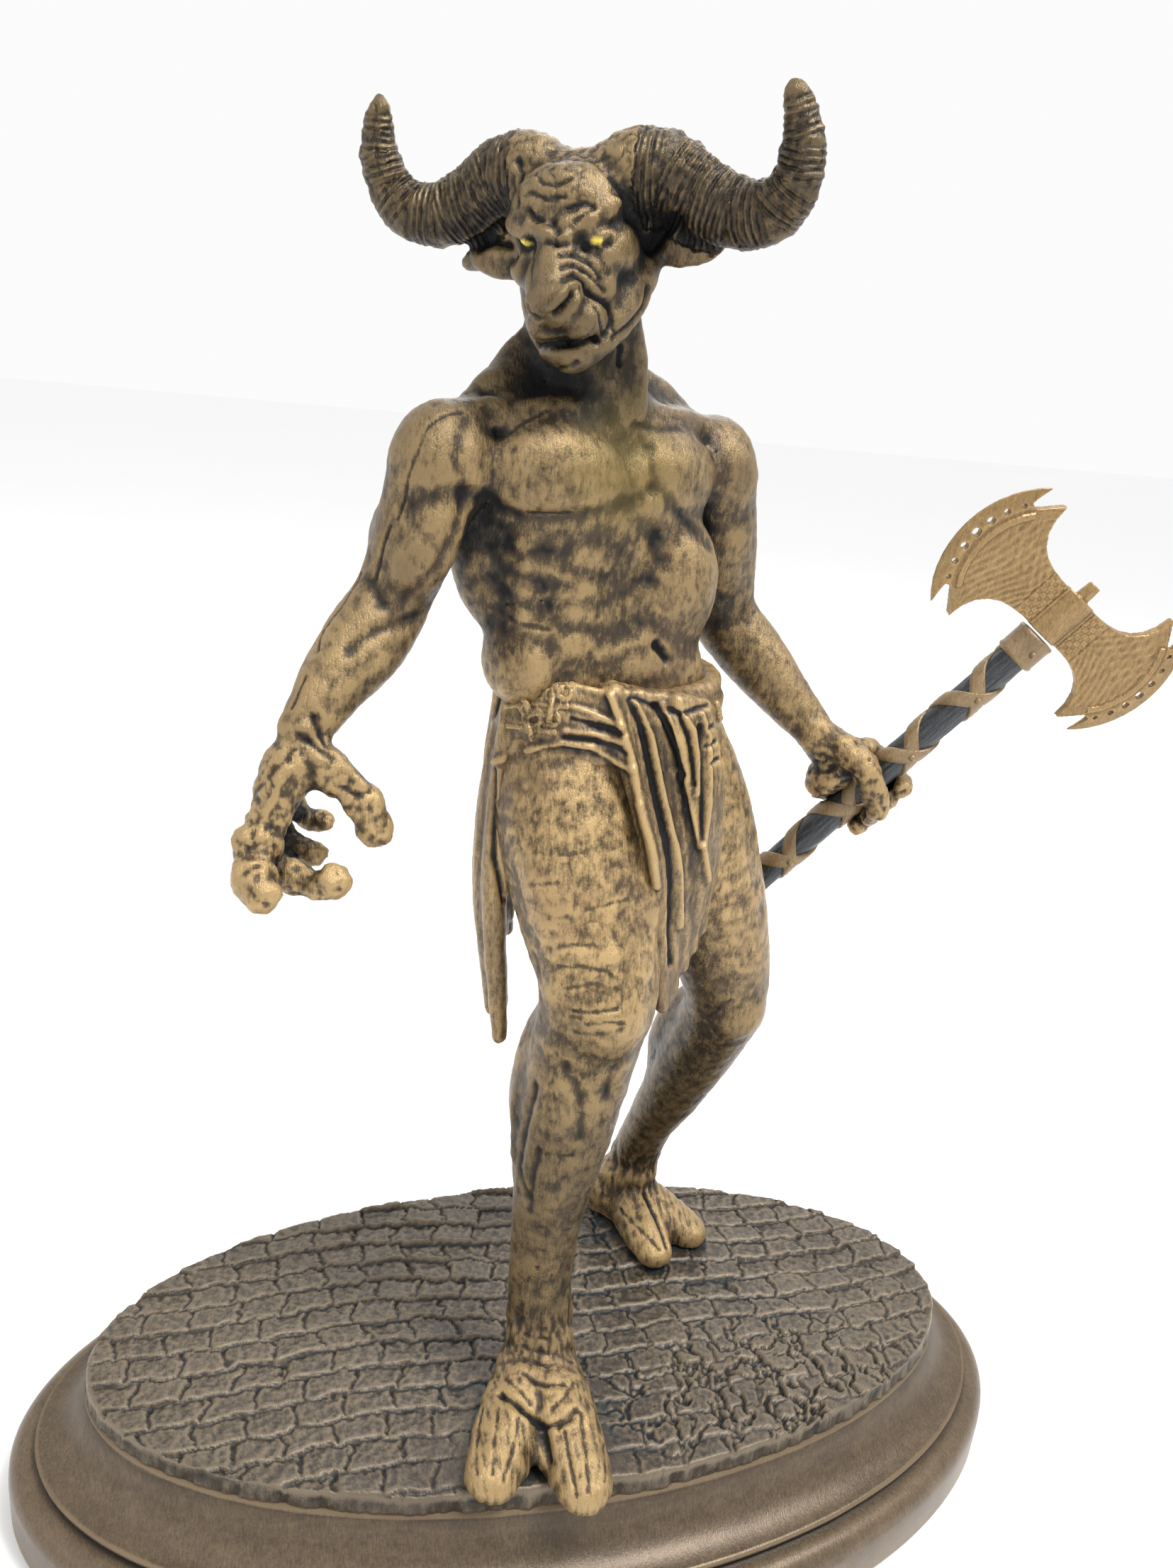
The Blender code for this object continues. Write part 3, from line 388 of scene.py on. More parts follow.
def loincloth(clay):
    """A wound belt, pleats hanging in front and a ragged panel behind."""
    clay.frame = PELVIS
    clay.ball((0, 1, 4), (24.5, 16.5, 9))
    for drop, out, thick in ((9.5, 0.4, 2.4), (5.5, 1.2, 2.6), (1.5, 1.4, 2.6), (-2.5, 1.2, 2.4)):
        wide = 23 + out
        deep = 15.5 + out
        turns = [math.tau * k / 24 for k in range(25)]
        clay.sweep([(wide * math.cos(a), 1 + deep * math.sin(a), drop + 1.5 * math.sin(a), thick)
                    for a in turns])
    clay.frame = WORLD
    for k in range(9):
        share = k / 8
        clay.sweep([(-1 + 21 * share, -8.5 + 5 * share, 168 - 5 * share, 2.2),
                    (10 + 14 * share, -13.6 + 8 * share, 132, 2.6),
                    (16.5 + 9 * share, -12.6 + 6 * share, 99 + 16 * share, 1.9)])
    for k in range(5):
        share = k / 4
        top = Vector((-1 + 21 * share, -10.5 + 5 * share, 168 - 5 * share))
        knee = Vector((10 + 14 * share, -16 + 8 * share, 132))
        hem = Vector((16.5 + 9 * share, -14 + 6 * share, 97 + 16 * share))
        clay.sweep([(*top, 2.2), (*top.lerp(knee, 0.5), 2.5), (*knee, 2.7), (*hem, 2)])
    for k in range(7):
        share = k / 6
        clay.sweep([(13 + 7 * share, -9.5 + 3 * share, 166 - 2 * share, 2.4),
                    (19.5 + 5 * share, -12 + 4 * share, 146, 2.4),
                    (22 + 4.5 * share, -11.5 + 5 * share, 126, 2.3),
                    (23 + 3 * share, -9.5 + 5 * share, 112 + 3 * share, 1.8)])
    clay.frame = PELVIS
    for k in range(24):
        a = math.radians(182 - 168 * k / 23)
        x = 24.5 * math.cos(a)
        y = 1 + 17 * math.sin(a)
        clay.sweep([(x, y, 4, 2.2), (x * 1.03, y * 1.08, -25, 2.4), (x, y * 1.1, -44, 2.3),
                    (x * 0.88, y * 1.08, -55 - 12 * math.cos(a * 2), 1.6)])
    for k in range(13):
        a = math.radians(184 - 172 * k / 12)
        x = 25.5 * math.cos(a)
        y = 1 + 18.5 * math.sin(a)
        hem = -62 - 14 * math.cos(a * 2) + (4 if k % 2 else 0)
        clay.sweep([(x, y, 4, 2.2), (x * 1.04, y * 1.1, -25, 2.9), (x, y * 1.12, -45, 2.9),
                    (x * 0.86, y * 1.1, hem, 2)])


def hooves(clay):
    """The forward pair of toes, then the pair behind."""
    hoof(clay, (-6.5, -22, 16), ((-22.5, -50), (-1.5, -56)), 18, 15)
    hoof(clay, (33, 34, 15), ((34.5, 12), (48.5, 19)), 15, 13)


# What makes the body, and where its open palm is
BODY = (torso, neck, right_arm, right_hand, left_arm, left_fist, right_leg, left_leg, hooves, head, horns)
PALM = (-64, -23, 144)


# Reading and shaping a fine mesh

def points_of(mesh):
    """The vertices' places, one row each."""
    found = np.empty(len(mesh.vertices) * 3)
    mesh.vertices.foreach_get("co", found)
    return found.reshape(-1, 3)


def normals_of(mesh):
    """The vertices' normals, one row each."""
    found = np.empty(len(mesh.vertices) * 3)
    mesh.vertex_normals.foreach_get("vector", found)
    return found.reshape(-1, 3)


def set_points(mesh, points):
    """Moves the vertices to those places."""
    mesh.vertices.foreach_set("co", points.ravel())
    mesh.update()


def set_attribute(mesh, name, values):
    """Keeps one number for each vertex, for the paint to read."""
    layer = mesh.attributes.new(name, "FLOAT", "POINT")
    layer.data.foreach_set("value", np.asarray(values, dtype=np.float32))


def edges_of(mesh):
    """The edges as pairs of vertex numbers."""
    found = np.empty(len(mesh.edges) * 2, dtype=np.int64)
    mesh.edges.foreach_get("vertices", found)
    return found.reshape(-1, 2)


def relaxed(values, edges, rounds):
    """Each vertex's value moved to the mean of its neighbours, several times."""
    count = len(values)
    ends = np.concatenate([edges[:, 0], edges[:, 1]])
    others = np.concatenate([edges[:, 1], edges[:, 0]])
    degree = np.maximum(np.bincount(ends, minlength=count), 1)
    for _ in range(rounds):
        columns = [np.bincount(ends, weights=values[others, k], minlength=count) / degree
                   for k in range(values.shape[1])]
        values = np.stack(columns, axis=1)
    return values


def add_hollows(mesh, fine_rounds, broad_rounds, fine_reach, broad_reach):
    """Stores how far each vertex lies in a fine and in a broad hollow; ridges are below 0.5."""
    points = points_of(mesh)
    normals = normals_of(mesh)
    edges = edges_of(mesh)
    near = relaxed(points, edges, fine_rounds)
    far = relaxed(near, edges, broad_rounds)
    fine = np.einsum("ij,ij->i", near - points, normals) / fine_reach
    broad = np.einsum("ij,ij->i", far - points, normals) / broad_reach
    set_attribute(mesh, "fine_hollow", np.clip(0.5 + 0.5 * fine, 0, 1))
    set_attribute(mesh, "broad_hollow", np.clip(0.5 + 0.5 * broad, 0, 1))


def ray_ways(count):
    """Directions spread evenly over a sphere."""
    found = []
    for k in range(count):
        z = 1 - (2 * k + 1) / count
        turn = k * 2.399963
        reach = math.sqrt(1 - z * z)
        found.append(Vector((reach * math.cos(turn), reach * math.sin(turn), z)))
    return found


def add_shade(mesh, tree, every, reach):
    """Stores how open each vertex is to the light, from rays cast at a share of the vertices."""
    points = points_of(mesh)
    normals = normals_of(mesh)
    ways = ray_ways(40)
    chosen = range(0, len(points), every)
    look_up = KDTree(len(chosen))
    openness = []
    for place, index in enumerate(chosen):
        normal = Vector(normals[index])
        start = Vector(points[index]) + normal * 0.0004
        open_ways = 0
        total = 0
        for way in ways:
            facing = way.dot(normal)
            if facing > 0.1:
                total += facing * (1.25 + way.z)
                if tree.ray_cast(start, way, reach)[0] is None:
                    open_ways += facing * (1.25 + way.z)
        openness.append(open_ways / max(total, 1e-6))
        look_up.insert(points[index], place)
    look_up.balance()
    openness = np.array(openness)
    shade = np.empty(len(points))
    for index, point in enumerate(points):
        near = look_up.find_n(point, 3)
        weights = [1 / (found[2] + 1e-5) for found in near]
        shade[index] = sum(openness[found[1]] * w for found, w in zip(near, weights)) / sum(weights)
    # painted shade: faces turned down count as less open to the light, so the paint darkens under things
    set_attribute(mesh, "shade", shade * (0.74 + 0.26 * normals[:, 2]))


def line_distance(points, run):
    """Distance from each point to a run of straight pieces."""
    best = np.full(len(points), 1e9)
    for a, b in zip(run, run[1:]):
        along = b - a
        share = np.clip((points - a) @ along / max(along @ along, 1e-12), 0, 1)
        best = np.minimum(best, np.linalg.norm(points - a - share[:, None] * along, axis=1))
    return best


def strokes(points, normals, runs):
    """Raises or lowers the skin along runs of points, each with a width and a height in figure units."""
    lift = np.zeros(len(points))
    for run, width, height in runs:
        run = np.array(run, dtype=float)
        low = run.min(axis=0) - 3 * width
        high = run.max(axis=0) + 3 * width
        near = np.nonzero(np.all((points > low) & (points < high), axis=1))[0]
        if len(near):
            distance = line_distance(points[near], run)
            lift[near] += height * np.exp(-(distance / width) ** 2)
    return points + normals * lift[:, None]


def noise_at(points, size, octaves=3):
    """Fractal noise, with its largest lumps of that size."""
    return np.array([noise.fractal(Vector(p) / size, 1.0, 2.0, octaves) for p in points])


def seen_points(tree, view, run):
    """Places on the skin that show at photograph positions, which are measured in an enlarged view of it."""
    left, top, zoom = view
    right, up, forward = view_axes()
    start = FIGURE_PLACE.inverted() @ VIEW_FROM
    found = []
    for x, y in run:
        across = (left + x / zoom - VIEW_SIZE[0] / 2) / VIEW_FOCAL
        down = (top + y / zoom - VIEW_SIZE[1] / 2) / VIEW_FOCAL
        hit = tree.ray_cast(start, (forward + right * across - up * down).normalized())[0]
        if hit is not None:
            found.append(hit[:])
    return found


# Detail on the figure, as runs of photograph positions in enlarged views (left, top, enlargement):
# each run is (width, height, positions), and a negative height is a crease

HEAD_VIEW = (480, 100, 3.267)
HEAD_MARKS = (
    (1.08, 0.7, ((810, 740), (880, 735), (950, 760), (1010, 778))),
    (1.1, 0.8, ((1020, 772), (1085, 738), (1170, 728), (1240, 752))),
    (1.17, 1.12, ((1000, 720), (1060, 690), (1150, 668))),
    (1.08, 0.98, ((880, 700), (930, 730), (960, 760))),
    (0.9, -1.26, ((985, 700), (1000, 740), (1003, 790))),
    (1.8, 0.98, ((1220, 870), (1250, 930), (1240, 1000))),
    (1.08, -1.26, ((822, 800), (850, 815), (885, 802))),
    (0.72, -0.98, ((1130, 812), (1180, 808), (1235, 797))),
    (0.81, 1.12, ((846, 795), (856, 795))),
    (1.3, 1.9, ((1170, 794), (1200, 787))),
    (0.45, -0.84, ((1045, 800), (1000, 790), (960, 792))),
    (0.45, -0.7, ((870, 640), (900, 680), (935, 702))),
    (0.45, -0.7, ((1085, 700), (1135, 665), (1165, 640))),
    (0.41, -0.56, ((1050, 635), (1120, 612), (1175, 625))),
    (0.45, -0.7, ((1010, 850), (1080, 850), (1150, 890), (1200, 960))),
    (0.45, -0.7, ((1020, 905), (1085, 898), (1150, 940), (1210, 1010))),
    (0.54, -0.84, ((1030, 962), (1080, 940), (1125, 985))),
    (0.81, -2.52, ((1000, 1120), (1040, 1090), (1072, 1050), (1080, 1010))),
    (0.63, -1.82, ((858, 1092), (880, 1130), (905, 1142))),
    (0.63, 0.7, ((975, 1100), (1015, 1045), (1055, 992), (1095, 985), (1110, 1040))),
    (0.45, -0.84, ((887, 840), (885, 900), (880, 990))),
    (0.54, -1.12, ((1120, 1005), (1180, 1045), (1240, 1090), (1255, 1150), (1225, 1225))),
    (0.41, -0.7, ((1180, 1090), (1200, 1150), (1215, 1210))),
    (0.54, -1.54, ((905, 1263), (960, 1268), (1060, 1258), (1150, 1246), (1195, 1246))),
    (0.81, -1.26, ((1180, 1240), (1192, 1248))),
    (0.99, 0.49, ((930, 1302), (1000, 1312), (1100, 1292))),
    (0.72, 0.42, ((930, 1225), (1020, 1215), (1120, 1205))),
    (0.54, -0.49, ((960, 1352), (1020, 1372), (1090, 1350))),
    (0.72, -0.84, ((1420, 1000), (1400, 1090), (1340, 1170), (1262, 1230))),
    (0.54, -0.7, ((1265, 1190), (1290, 1270), (1285, 1350))),
    (1.26, -2.38, ((640, 795), (700, 775), (755, 800), (790, 860))),
    (0.72, 0.7, ((590, 758), (650, 738), (700, 690), (770, 650))),
    (1.35, -2.8, ((1440, 800), (1475, 745), (1545, 690))),
    (0.72, -0.84, ((825, 410), (832, 520), (815, 610))),
    (0.54, -0.56, ((1240, 500), (1285, 560), (1345, 620))),
    (0.4, -0.42, ((900, 480), (940, 520), (1000, 530), (1060, 500))),
    (0.4, -0.42, ((880, 560), (950, 590), (1040, 580))),
)

CHEST_VIEW = (560, 480, 3.015)
CHEST_MARKS = (
    (2.0, -0.9, ((290, 660), (420, 700), (520, 755), (680, 765), (860, 740), (1000, 690), (1085, 640))),
    (1.8, -0.7, ((1130, 620), (1170, 700), (1250, 790), (1330, 870))),
    (1.6, -0.7, ((1105, 640), (1095, 560), (1075, 460))),
    (1.5, -0.4, ((380, 220), (480, 240), (600, 220), (680, 180))),
    (1.6, -0.35, ((400, 300), (470, 270), (580, 240))),
    (0.32, -0.35, ((280, 300), (200, 320), (130, 370), (90, 470), (50, 580), (20, 700), (5, 760))),
    (0.35, -0.25, ((480, 395), (560, 340), (640, 300))),
    (2.2, -0.8, ((60, 690), (110, 665), (172, 655), (240, 656), (305, 666))),
    (1.6, -0.7, ((305, 687), (190, 938), (36, 1091))),
    (1.7, -0.6, ((286, 341), (247, 494), (286, 630))),
    (2.0, -0.4, ((400, 900), (440, 960), (520, 1010), (620, 1040))),
    (1.9, -0.35, ((380, 980), (440, 1060), (560, 1120), (700, 1130))),
    (1.9, -0.3, ((480, 870), (600, 900), (720, 930), (830, 1000), (940, 1020))),
    (2.2, -0.6, ((1100, 850), (1110, 930), (1080, 1010))),
    (2.4, 0.5, ((960, 800), (1010, 830), (1040, 880))),
    (1.9, -0.3, ((760, 1120), (860, 1130), (980, 1060), (1080, 1020))),
    (1.8, -0.3, ((620, 1180), (740, 1230), (860, 1240))),
    (1.5, 0.3, ((560, 960), (700, 1000), (820, 1060))),
    (1.0, -1.6, ((1105, 1300), (1130, 1325), (1150, 1355))),
    (1.6, 0.4, ((860, 1330), (980, 1300), (1080, 1260))),
    (0.5, -0.25, ((480, 1180), (540, 1210), (640, 1230))),
    (0.4, -0.25, ((560, 740), (640, 745), (740, 742))),
    (0.8, -0.3, ((1010, 360), (1120, 380), (1200, 375))),
)

CLOTH_VIEW = (640, 920, 2.8)
CLOTH_MARKS = (
    (0.7, -1.0, ((205, 118), (400, 112), (590, 128), (700, 175), (800, 215), (900, 245), (1010, 205))),
    (0.7, 0.8, ((460, 130), (530, 150), (585, 160))),
    (0.7, 0.8, ((470, 215), (540, 240), (660, 290))),
    (0.7, 0.8, ((440, 310), (540, 320), (660, 355))),
    (0.8, 0.9, ((160, 435), (340, 375), (430, 355), (540, 372), (640, 430), (705, 462))),
    (0.7, -0.9, ((470, 265), (560, 290), (665, 320))),
    (0.7, -0.9, ((440, 340), (560, 350), (680, 400))),
    (0.8, 1.3, ((580, 130), (620, 170), (660, 280), (705, 440), (735, 600), (775, 750), (800, 920))),
    (0.8, -1.3, ((700, 190), (745, 300), (775, 440), (805, 590), (830, 700), (860, 900), (855, 1100),
                 (860, 1230))),
    (0.8, 1.2, ((690, 165), (735, 240), (775, 330), (800, 450), (830, 600), (860, 720), (890, 880),
                (890, 1080))),
    (0.7, -1.2, ((805, 210), (850, 310), (885, 400), (915, 480))),
    (0.8, 1.2, ((820, 215), (870, 290), (905, 380), (925, 500), (950, 640), (975, 760))),
    (0.7, -1.2, ((895, 255), (930, 340), (945, 440), (950, 520))),
    (0.7, 1.0, ((905, 250), (945, 310), (960, 420), (965, 560))),
    (0.8, -1.4, ((975, 300), (985, 450), (985, 600), (980, 740))),
    (0.7, 1.1, ((975, 240), (1005, 330), (1010, 480), (1003, 640), (985, 760), (1000, 900), (1018, 1010))),
    (0.7, 0.8, ((735, 600), (760, 700), (790, 800), (800, 920))),
    (0.6, -0.7, ((1000, 300), (1030, 290), (1050, 310))),
    (0.6, -0.7, ((1000, 370), (1040, 350), (1065, 370))),
    (0.6, -0.7, ((1010, 440), (1050, 420), (1080, 440))),
    (0.9, -1.3, ((175, 190), (130, 300), (105, 480), (80, 680))),
    (0.8, 1.0, ((165, 150), (110, 280), (80, 440), (50, 680))),
    (0.8, -1.2, ((165, 470), (165, 640), (160, 800), (200, 980), (240, 1150))),
    (0.8, 0.9, ((175, 470), (175, 640), (180, 800), (205, 960), (250, 1160), (300, 1400))),
)

THIGH_MARKS = (
    (0.35, -0.17, ((300, 920), (360, 915), (410, 912))),
    (0.35, -0.15, ((420, 802), (480, 795))),
    (0.35, -0.15, ((520, 1020), (600, 1000), (690, 975))),
    (0.4, -0.2, ((410, 1165), (480, 1155), (560, 1160))),
    (0.4, -0.23, ((415, 1242), (500, 1240), (600, 1260), (650, 1290))),
    (0.4, -0.17, ((440, 1330), (540, 1310), (650, 1330))),
    (0.4, -0.2, ((470, 1440), (560, 1450), (650, 1440))),
    (0.4, -0.17, ((480, 1500), (560, 1510), (660, 1490))),
    (0.35, -0.15, ((310, 1010), (380, 1050), (450, 1045))),
    (2.4, 0.7, ((520, 1180), (560, 1210), (620, 1200))),
    (0.4, -0.15, ((1010, 1440), (1060, 1400), (1100, 1370))),
)

SHIN_VIEW = (640, 1380, 1.96)
SHIN_MARKS = (
    (0.4, -0.4, ((330, 90), (390, 95), (450, 85))),
    (0.4, -0.4, ((370, 125), (430, 120), (470, 125))),
    (2.2, 0.6, ((380, 110), (430, 120))),
    (1.4, -0.5, ((310, 250), (350, 330), (350, 440))),
    (1.3, -0.4, ((440, 250), (420, 330))),
    (1.2, -0.7, ((225, 300), (205, 390), (190, 450), (180, 520), (200, 600))),
    (1.6, 0.6, ((165, 330), (155, 400), (165, 480))),
    (0.9, -0.6, ((235, 480), (215, 560), (210, 640))),
    (1.3, -0.5, ((470, 380), (450, 450), (440, 520))),
    (0.35, -0.3, ((255, 485), (330, 490))),
    (0.35, -0.3, ((240, 690), (320, 695))),
    (0.35, -0.3, ((235, 750), (325, 745))),
    (0.35, -0.3, ((230, 800), (320, 805))),
    (0.5, -0.4, ((195, 985), (260, 1000), (330, 985))),
    (0.5, -0.4, ((195, 1020), (260, 1040), (330, 1025))),
    (0.5, -0.4, ((190, 1055), (260, 1070), (330, 1060))),
    (0.7, -0.8, ((60, 1130), (130, 1150), (190, 1190), (240, 1230))),
    (0.7, -0.8, ((290, 1240), (330, 1215), (400, 1180), (430, 1150))),
    (0.5, -0.5, ((420, 690), (480, 740), (550, 780))),
    (0.5, -0.5, ((460, 640), (520, 700), (570, 750))),
    (0.8, -1.2, ((530, 600), (560, 660), (590, 740))),
)


ARM_VIEW = (320, 740, 2.7025)
ARM_MARKS = (
    (0.35, -0.5, ((622, 5), (600, 70), (580, 150), (565, 200))),
    (0.35, -0.5, ((510, 190), (470, 260), (430, 320), (385, 345), (358, 420), (345, 480))),
    (0.35, -0.5, ((300, 580), (262, 660), (245, 700))),
    (1.3, -0.6, ((552, 215), (572, 260), (590, 300))),
    (1.6, 0.6, ((430, 640), (520, 580), (600, 520))),
    (1.3, -0.6, ((470, 480), (540, 420), (640, 380), (720, 350))),
    (0.9, -0.9, ((332, 735), (350, 785), (380, 850))),
    (0.6, -0.6, ((275, 805), (330, 840), (400, 885))),
    (0.9, 0.6, ((300, 765), (380, 855), (470, 930), (530, 1010))),
    (0.6, -0.5, ((450, 1010), (490, 1035), (540, 1020))),
    (0.7, -0.5, ((160, 960), (220, 900), (250, 860))),
    (0.8, 0.5, ((120, 1190), (160, 1080), (200, 980))),
    (0.6, -0.5, ((80, 1235), (130, 1215), (190, 1230))),
    (0.6, -0.5, ((60, 1330), (120, 1300), (200, 1330))),
    (0.8, -0.6, ((90, 1390), (110, 1430), (150, 1450))),
)

HOOF_VIEW = (560, 1860, 3.92)
HOOF_MARKS = (
    (0.4, -0.45, ((400, 480), (370, 640), (400, 850))),
    (0.4, -0.4, ((470, 500), (438, 680), (445, 860))),
    (0.4, -0.35, ((560, 490), (540, 680), (530, 860))),
    (0.4, -0.45, ((680, 520), (650, 700), (590, 900))),
    (0.4, -0.45, ((930, 620), (955, 800), (1000, 980))),
    (0.4, -0.45, ((1020, 520), (1048, 760), (1060, 960))),
    (0.4, -0.4, ((1105, 480), (1145, 700), (1150, 900))),
    (0.4, -0.4, ((1180, 560), (1210, 740), (1190, 900))),
    (0.6, -0.8, ((430, 365), (560, 420), (690, 500), (785, 600))),
    (0.6, -0.8, ((1160, 465), (1000, 505), (900, 570), (830, 600))),
    (1.2, -1.6, ((800, 610), (815, 700), (830, 780))),
    (0.5, -0.6, ((700, 300), (760, 350), (830, 370), (930, 360))),
    (0.5, -0.4, ((600, 330), (680, 400), (740, 470))),
    (0.5, -0.4, ((980, 350), (930, 430), (860, 500))),
)


BODY_VIEWS = ((HEAD_VIEW, HEAD_MARKS), (CHEST_VIEW, CHEST_MARKS), (SHIN_VIEW, SHIN_MARKS),
              (ARM_VIEW, ARM_MARKS), (CLOTH_VIEW, THIGH_MARKS), (HOOF_VIEW, HOOF_MARKS))
CLOTH_VIEWS = ((CLOTH_VIEW, CLOTH_MARKS),)


def marks_on(tree, views):
    """Every mark of those views, laid on the skin."""
    runs = []
    for view, marks in views:
        for width, height, places in marks:
            run = seen_points(tree, view, places)
            if len(run) > 1:
                runs.append((run, width, height))
    return runs


def horn_runs():
    """Both horns' middle lines in figure units, from the stations that model them."""
    found = []
    for side in (1, -1):
        found.append([(CROWN @ Vector((side * x, y, z)), r) for x, y, z, r in HORN])
    return found


EYES = ((852, 795), (1186, 790))

# How light the paint is at heights up the figure, from the hooves to the crown, as painted light and shade
LIGHT_AND_SHADE_STEPS = ((0, 0.84), (14, 0.84), (22, 0.44), (40, 0.36), (72, 0.42), (84, 0.66), (96, 0.68), (108, 0.95),
              (128, 1.1), (150, 1.0), (168, 0.80), (190, 0.66), (205, 0.62), (217, 0.60), (226, 0.36),
              (236, 0.40), (262, 0.54), (270, 0.52))
HORN_TONE = 0.30


def along_horns(points):
    """Each point's place along the nearest horn in figure units, or -1 off the horns."""
    place = np.full(len(points), -1.0)
    for run in horn_runs():
        middle = [np.array(p) for p, _ in run]
        pieces = [np.linalg.norm(b - a) for a, b in zip(middle, middle[1:])]
        lengths = np.concatenate([[0], np.cumsum(pieces)])
        best = np.full(len(points), 1e9)
        for k, (a, b) in enumerate(zip(middle, middle[1:])):
            along = b - a
            share = np.clip((points - a) @ along / (along @ along), 0, 1)
            away = np.linalg.norm(points - a - share[:, None] * along, axis=1)
            radius = run[k][1] * (1 - share) + run[k + 1][1] * share
            hit = (away < best) & (away < radius * 1.35)
            best[hit] = away[hit]
            place[hit] = lengths[k] + share[hit] * (lengths[k + 1] - lengths[k])
    place[(place >= 0) & (place < 7)] = -1
    return place


def weathered(points, normals):
    """Skin texture: soft unevenness everywhere, scaly lumps on the crown, folds of skin on the legs."""
    lift = 0.22 * noise_at(points, 5.0) + 0.10 * noise_at(points * (1, 0.6, 0.45), 1.1, 2)
    crown = np.clip((points[:, 2] - 252) / 8, 0, 1)
    lift += crown * 0.5 * np.abs(noise_at(points, 2.4, 2))
    horn = along_horns(points)
    on_horn = horn >= 0
    wobble = 0.6 * noise_at(points[on_horn], 4.0, 2)
    lift[on_horn] += 0.10 * np.sin((horn[on_horn] + wobble) * math.tau / 1.5)
    lift[on_horn] += 0.22 * noise_at(points[on_horn] * (1, 1, 0.5), 2.0, 3)
    hoof_hair = np.clip(1 - np.abs(points[:, 2] - 19) / 9, 0, 1)
    lift += hoof_hair * 0.55 * noise_at(points * (1, 1, 0.3), 1.5, 2)
    nail = np.clip((15 - points[:, 2]) / 3, 0, 1)
    lift += nail * 0.30 * noise_at(points * (1, 0.16, 0.16), 1.2, 2)
    gnarled = 1 - ramp(np.linalg.norm(points - np.array(PALM), axis=1), 14, 26)
    gnarled = np.maximum(gnarled, 1 - ramp(np.linalg.norm(points - np.array(GRIP), axis=1), 12, 24))
    lift += gnarled * (0.5 * noise_at(points, 3.2, 2) - 0.35 * np.abs(noise_at(points + 9, 2.0, 2)))
    return points + normals * lift[:, None]


def soften(mesh, weight, rounds, passes, lowering):
    """Fills the creases between lumps more than it lowers the lumps, by each vertex's weight."""
    edges = edges_of(mesh)
    for _ in range(passes):
        points = points_of(mesh)
        normals = normals_of(mesh)
        step = relaxed(points, edges, rounds) - points
        lift = np.einsum("ij,ij->i", step, normals)
        lift = np.where(lift > 0, lift, lowering * lift) * weight
        set_points(mesh, points + normals * lift[:, None])


def ramp(values, low, high):
    """Rises from 0 at low to 1 at high."""
    return np.clip((values - low) / (high - low), 0, 1)


def flesh(points):
    """How much each vertex belongs to the broad muscles rather than to the head, hands and hooves."""
    weight = 1 - ramp(points[:, 2], 230, 240)
    fist = np.linalg.norm(points - np.array(GRIP), axis=1)
    palm = np.linalg.norm(points - np.array(PALM), axis=1)
    return weight * ramp(fist, 14, 24) * ramp(palm, 19, 28) * ramp(points[:, 2], 14, 26)


def make_figure():
    """The body: lumps joined to one skin, softened, marked, roughened, thinned and painted."""
    clay = Clay()
    for limb in BODY:
        limb(clay)
    obj = link(bpy.data.objects.new("figure_skin", clay.mesh("figure_skin")))
    skin_over(obj, FIGURE_SKIN, 4)
    mesh = obj.data
    soften(mesh, flesh(points_of(mesh)), 34, 2, 0.45)
    soften(mesh, 1 - 0.4 * ramp(points_of(mesh)[:, 2], 236, 246), 7, 2, 0.3)
    cloth = make_cloth()
    tree = BVHTree.FromObject(obj, bpy.context.evaluated_depsgraph_get())
    points = points_of(mesh)
    normals = normals_of(mesh)
    points = strokes(points, normals, marks_on(tree, BODY_VIEWS))
    points = weathered(points, normals)
    points[:, 2] = np.maximum(points[:, 2], 0)
    set_points(mesh, points)
    thin_out(obj, FIGURE_TRIANGLES)
    mesh = obj.data
    points = points_of(mesh)
    horn = along_horns(points)
    set_attribute(mesh, "horn", horn)
    eye = np.zeros(len(points))
    shaped = BVHTree.FromObject(obj, bpy.context.evaluated_depsgraph_get())
    for place in seen_points(shaped, HEAD_VIEW, EYES):
        apart = (points - np.array(place)) * (0.75, 0.75, 1.9)
        eye = np.maximum(eye, np.clip(3.4 - 3.2 * np.linalg.norm(apart, axis=1), 0, 1))
    set_attribute(mesh, "eye", eye)
    set_attribute(mesh, "light_and_shade_tone", paint_light_and_shade(points, horn))
    mesh.transform(FIGURE_PLACE)
    add_hollows(mesh, 3, 26, 0.00022, 0.0016)
    add_shade(mesh, BVHTree.FromObject(obj, bpy.context.evaluated_depsgraph_get()), 7, 0.06)
    finish_piece(obj, paint_figure(), "figure", "figure")
    finish_cloth(cloth)
    return obj


def paint_light_and_shade(points, horn):
    """Painted light and shade by height: painted light on the thighs and hooves, painted shade on the shins
    and neck, and darker on the horns.
    """
    heights, values = zip(*LIGHT_AND_SHADE_STEPS)
    light_and_shade_tone = np.interp(points[:, 2], heights, values)
    arm = ramp(np.abs(points[:, 0] + 4), 30, 40) * ramp(points[:, 2], 120, 135)
    light_and_shade_tone = light_and_shade_tone * (1 - 0.12 * arm)
    light_and_shade_tone = np.where(horn >= 0, HORN_TONE, light_and_shade_tone)
    return light_and_shade_tone + 0.10 * noise_at(points, 14.0, 2)


def make_cloth():
    """The wound belt and its hanging panels, as a skin of their own over the hips."""
    clay = Clay()
    loincloth(clay)
    obj = link(bpy.data.objects.new("cloth_skin", clay.mesh("cloth_skin")))
    skin_over(obj, 0.5, 3)
    soften(obj.data, np.ones(len(obj.data.vertices)), 10, 2, 0.25)
    return obj


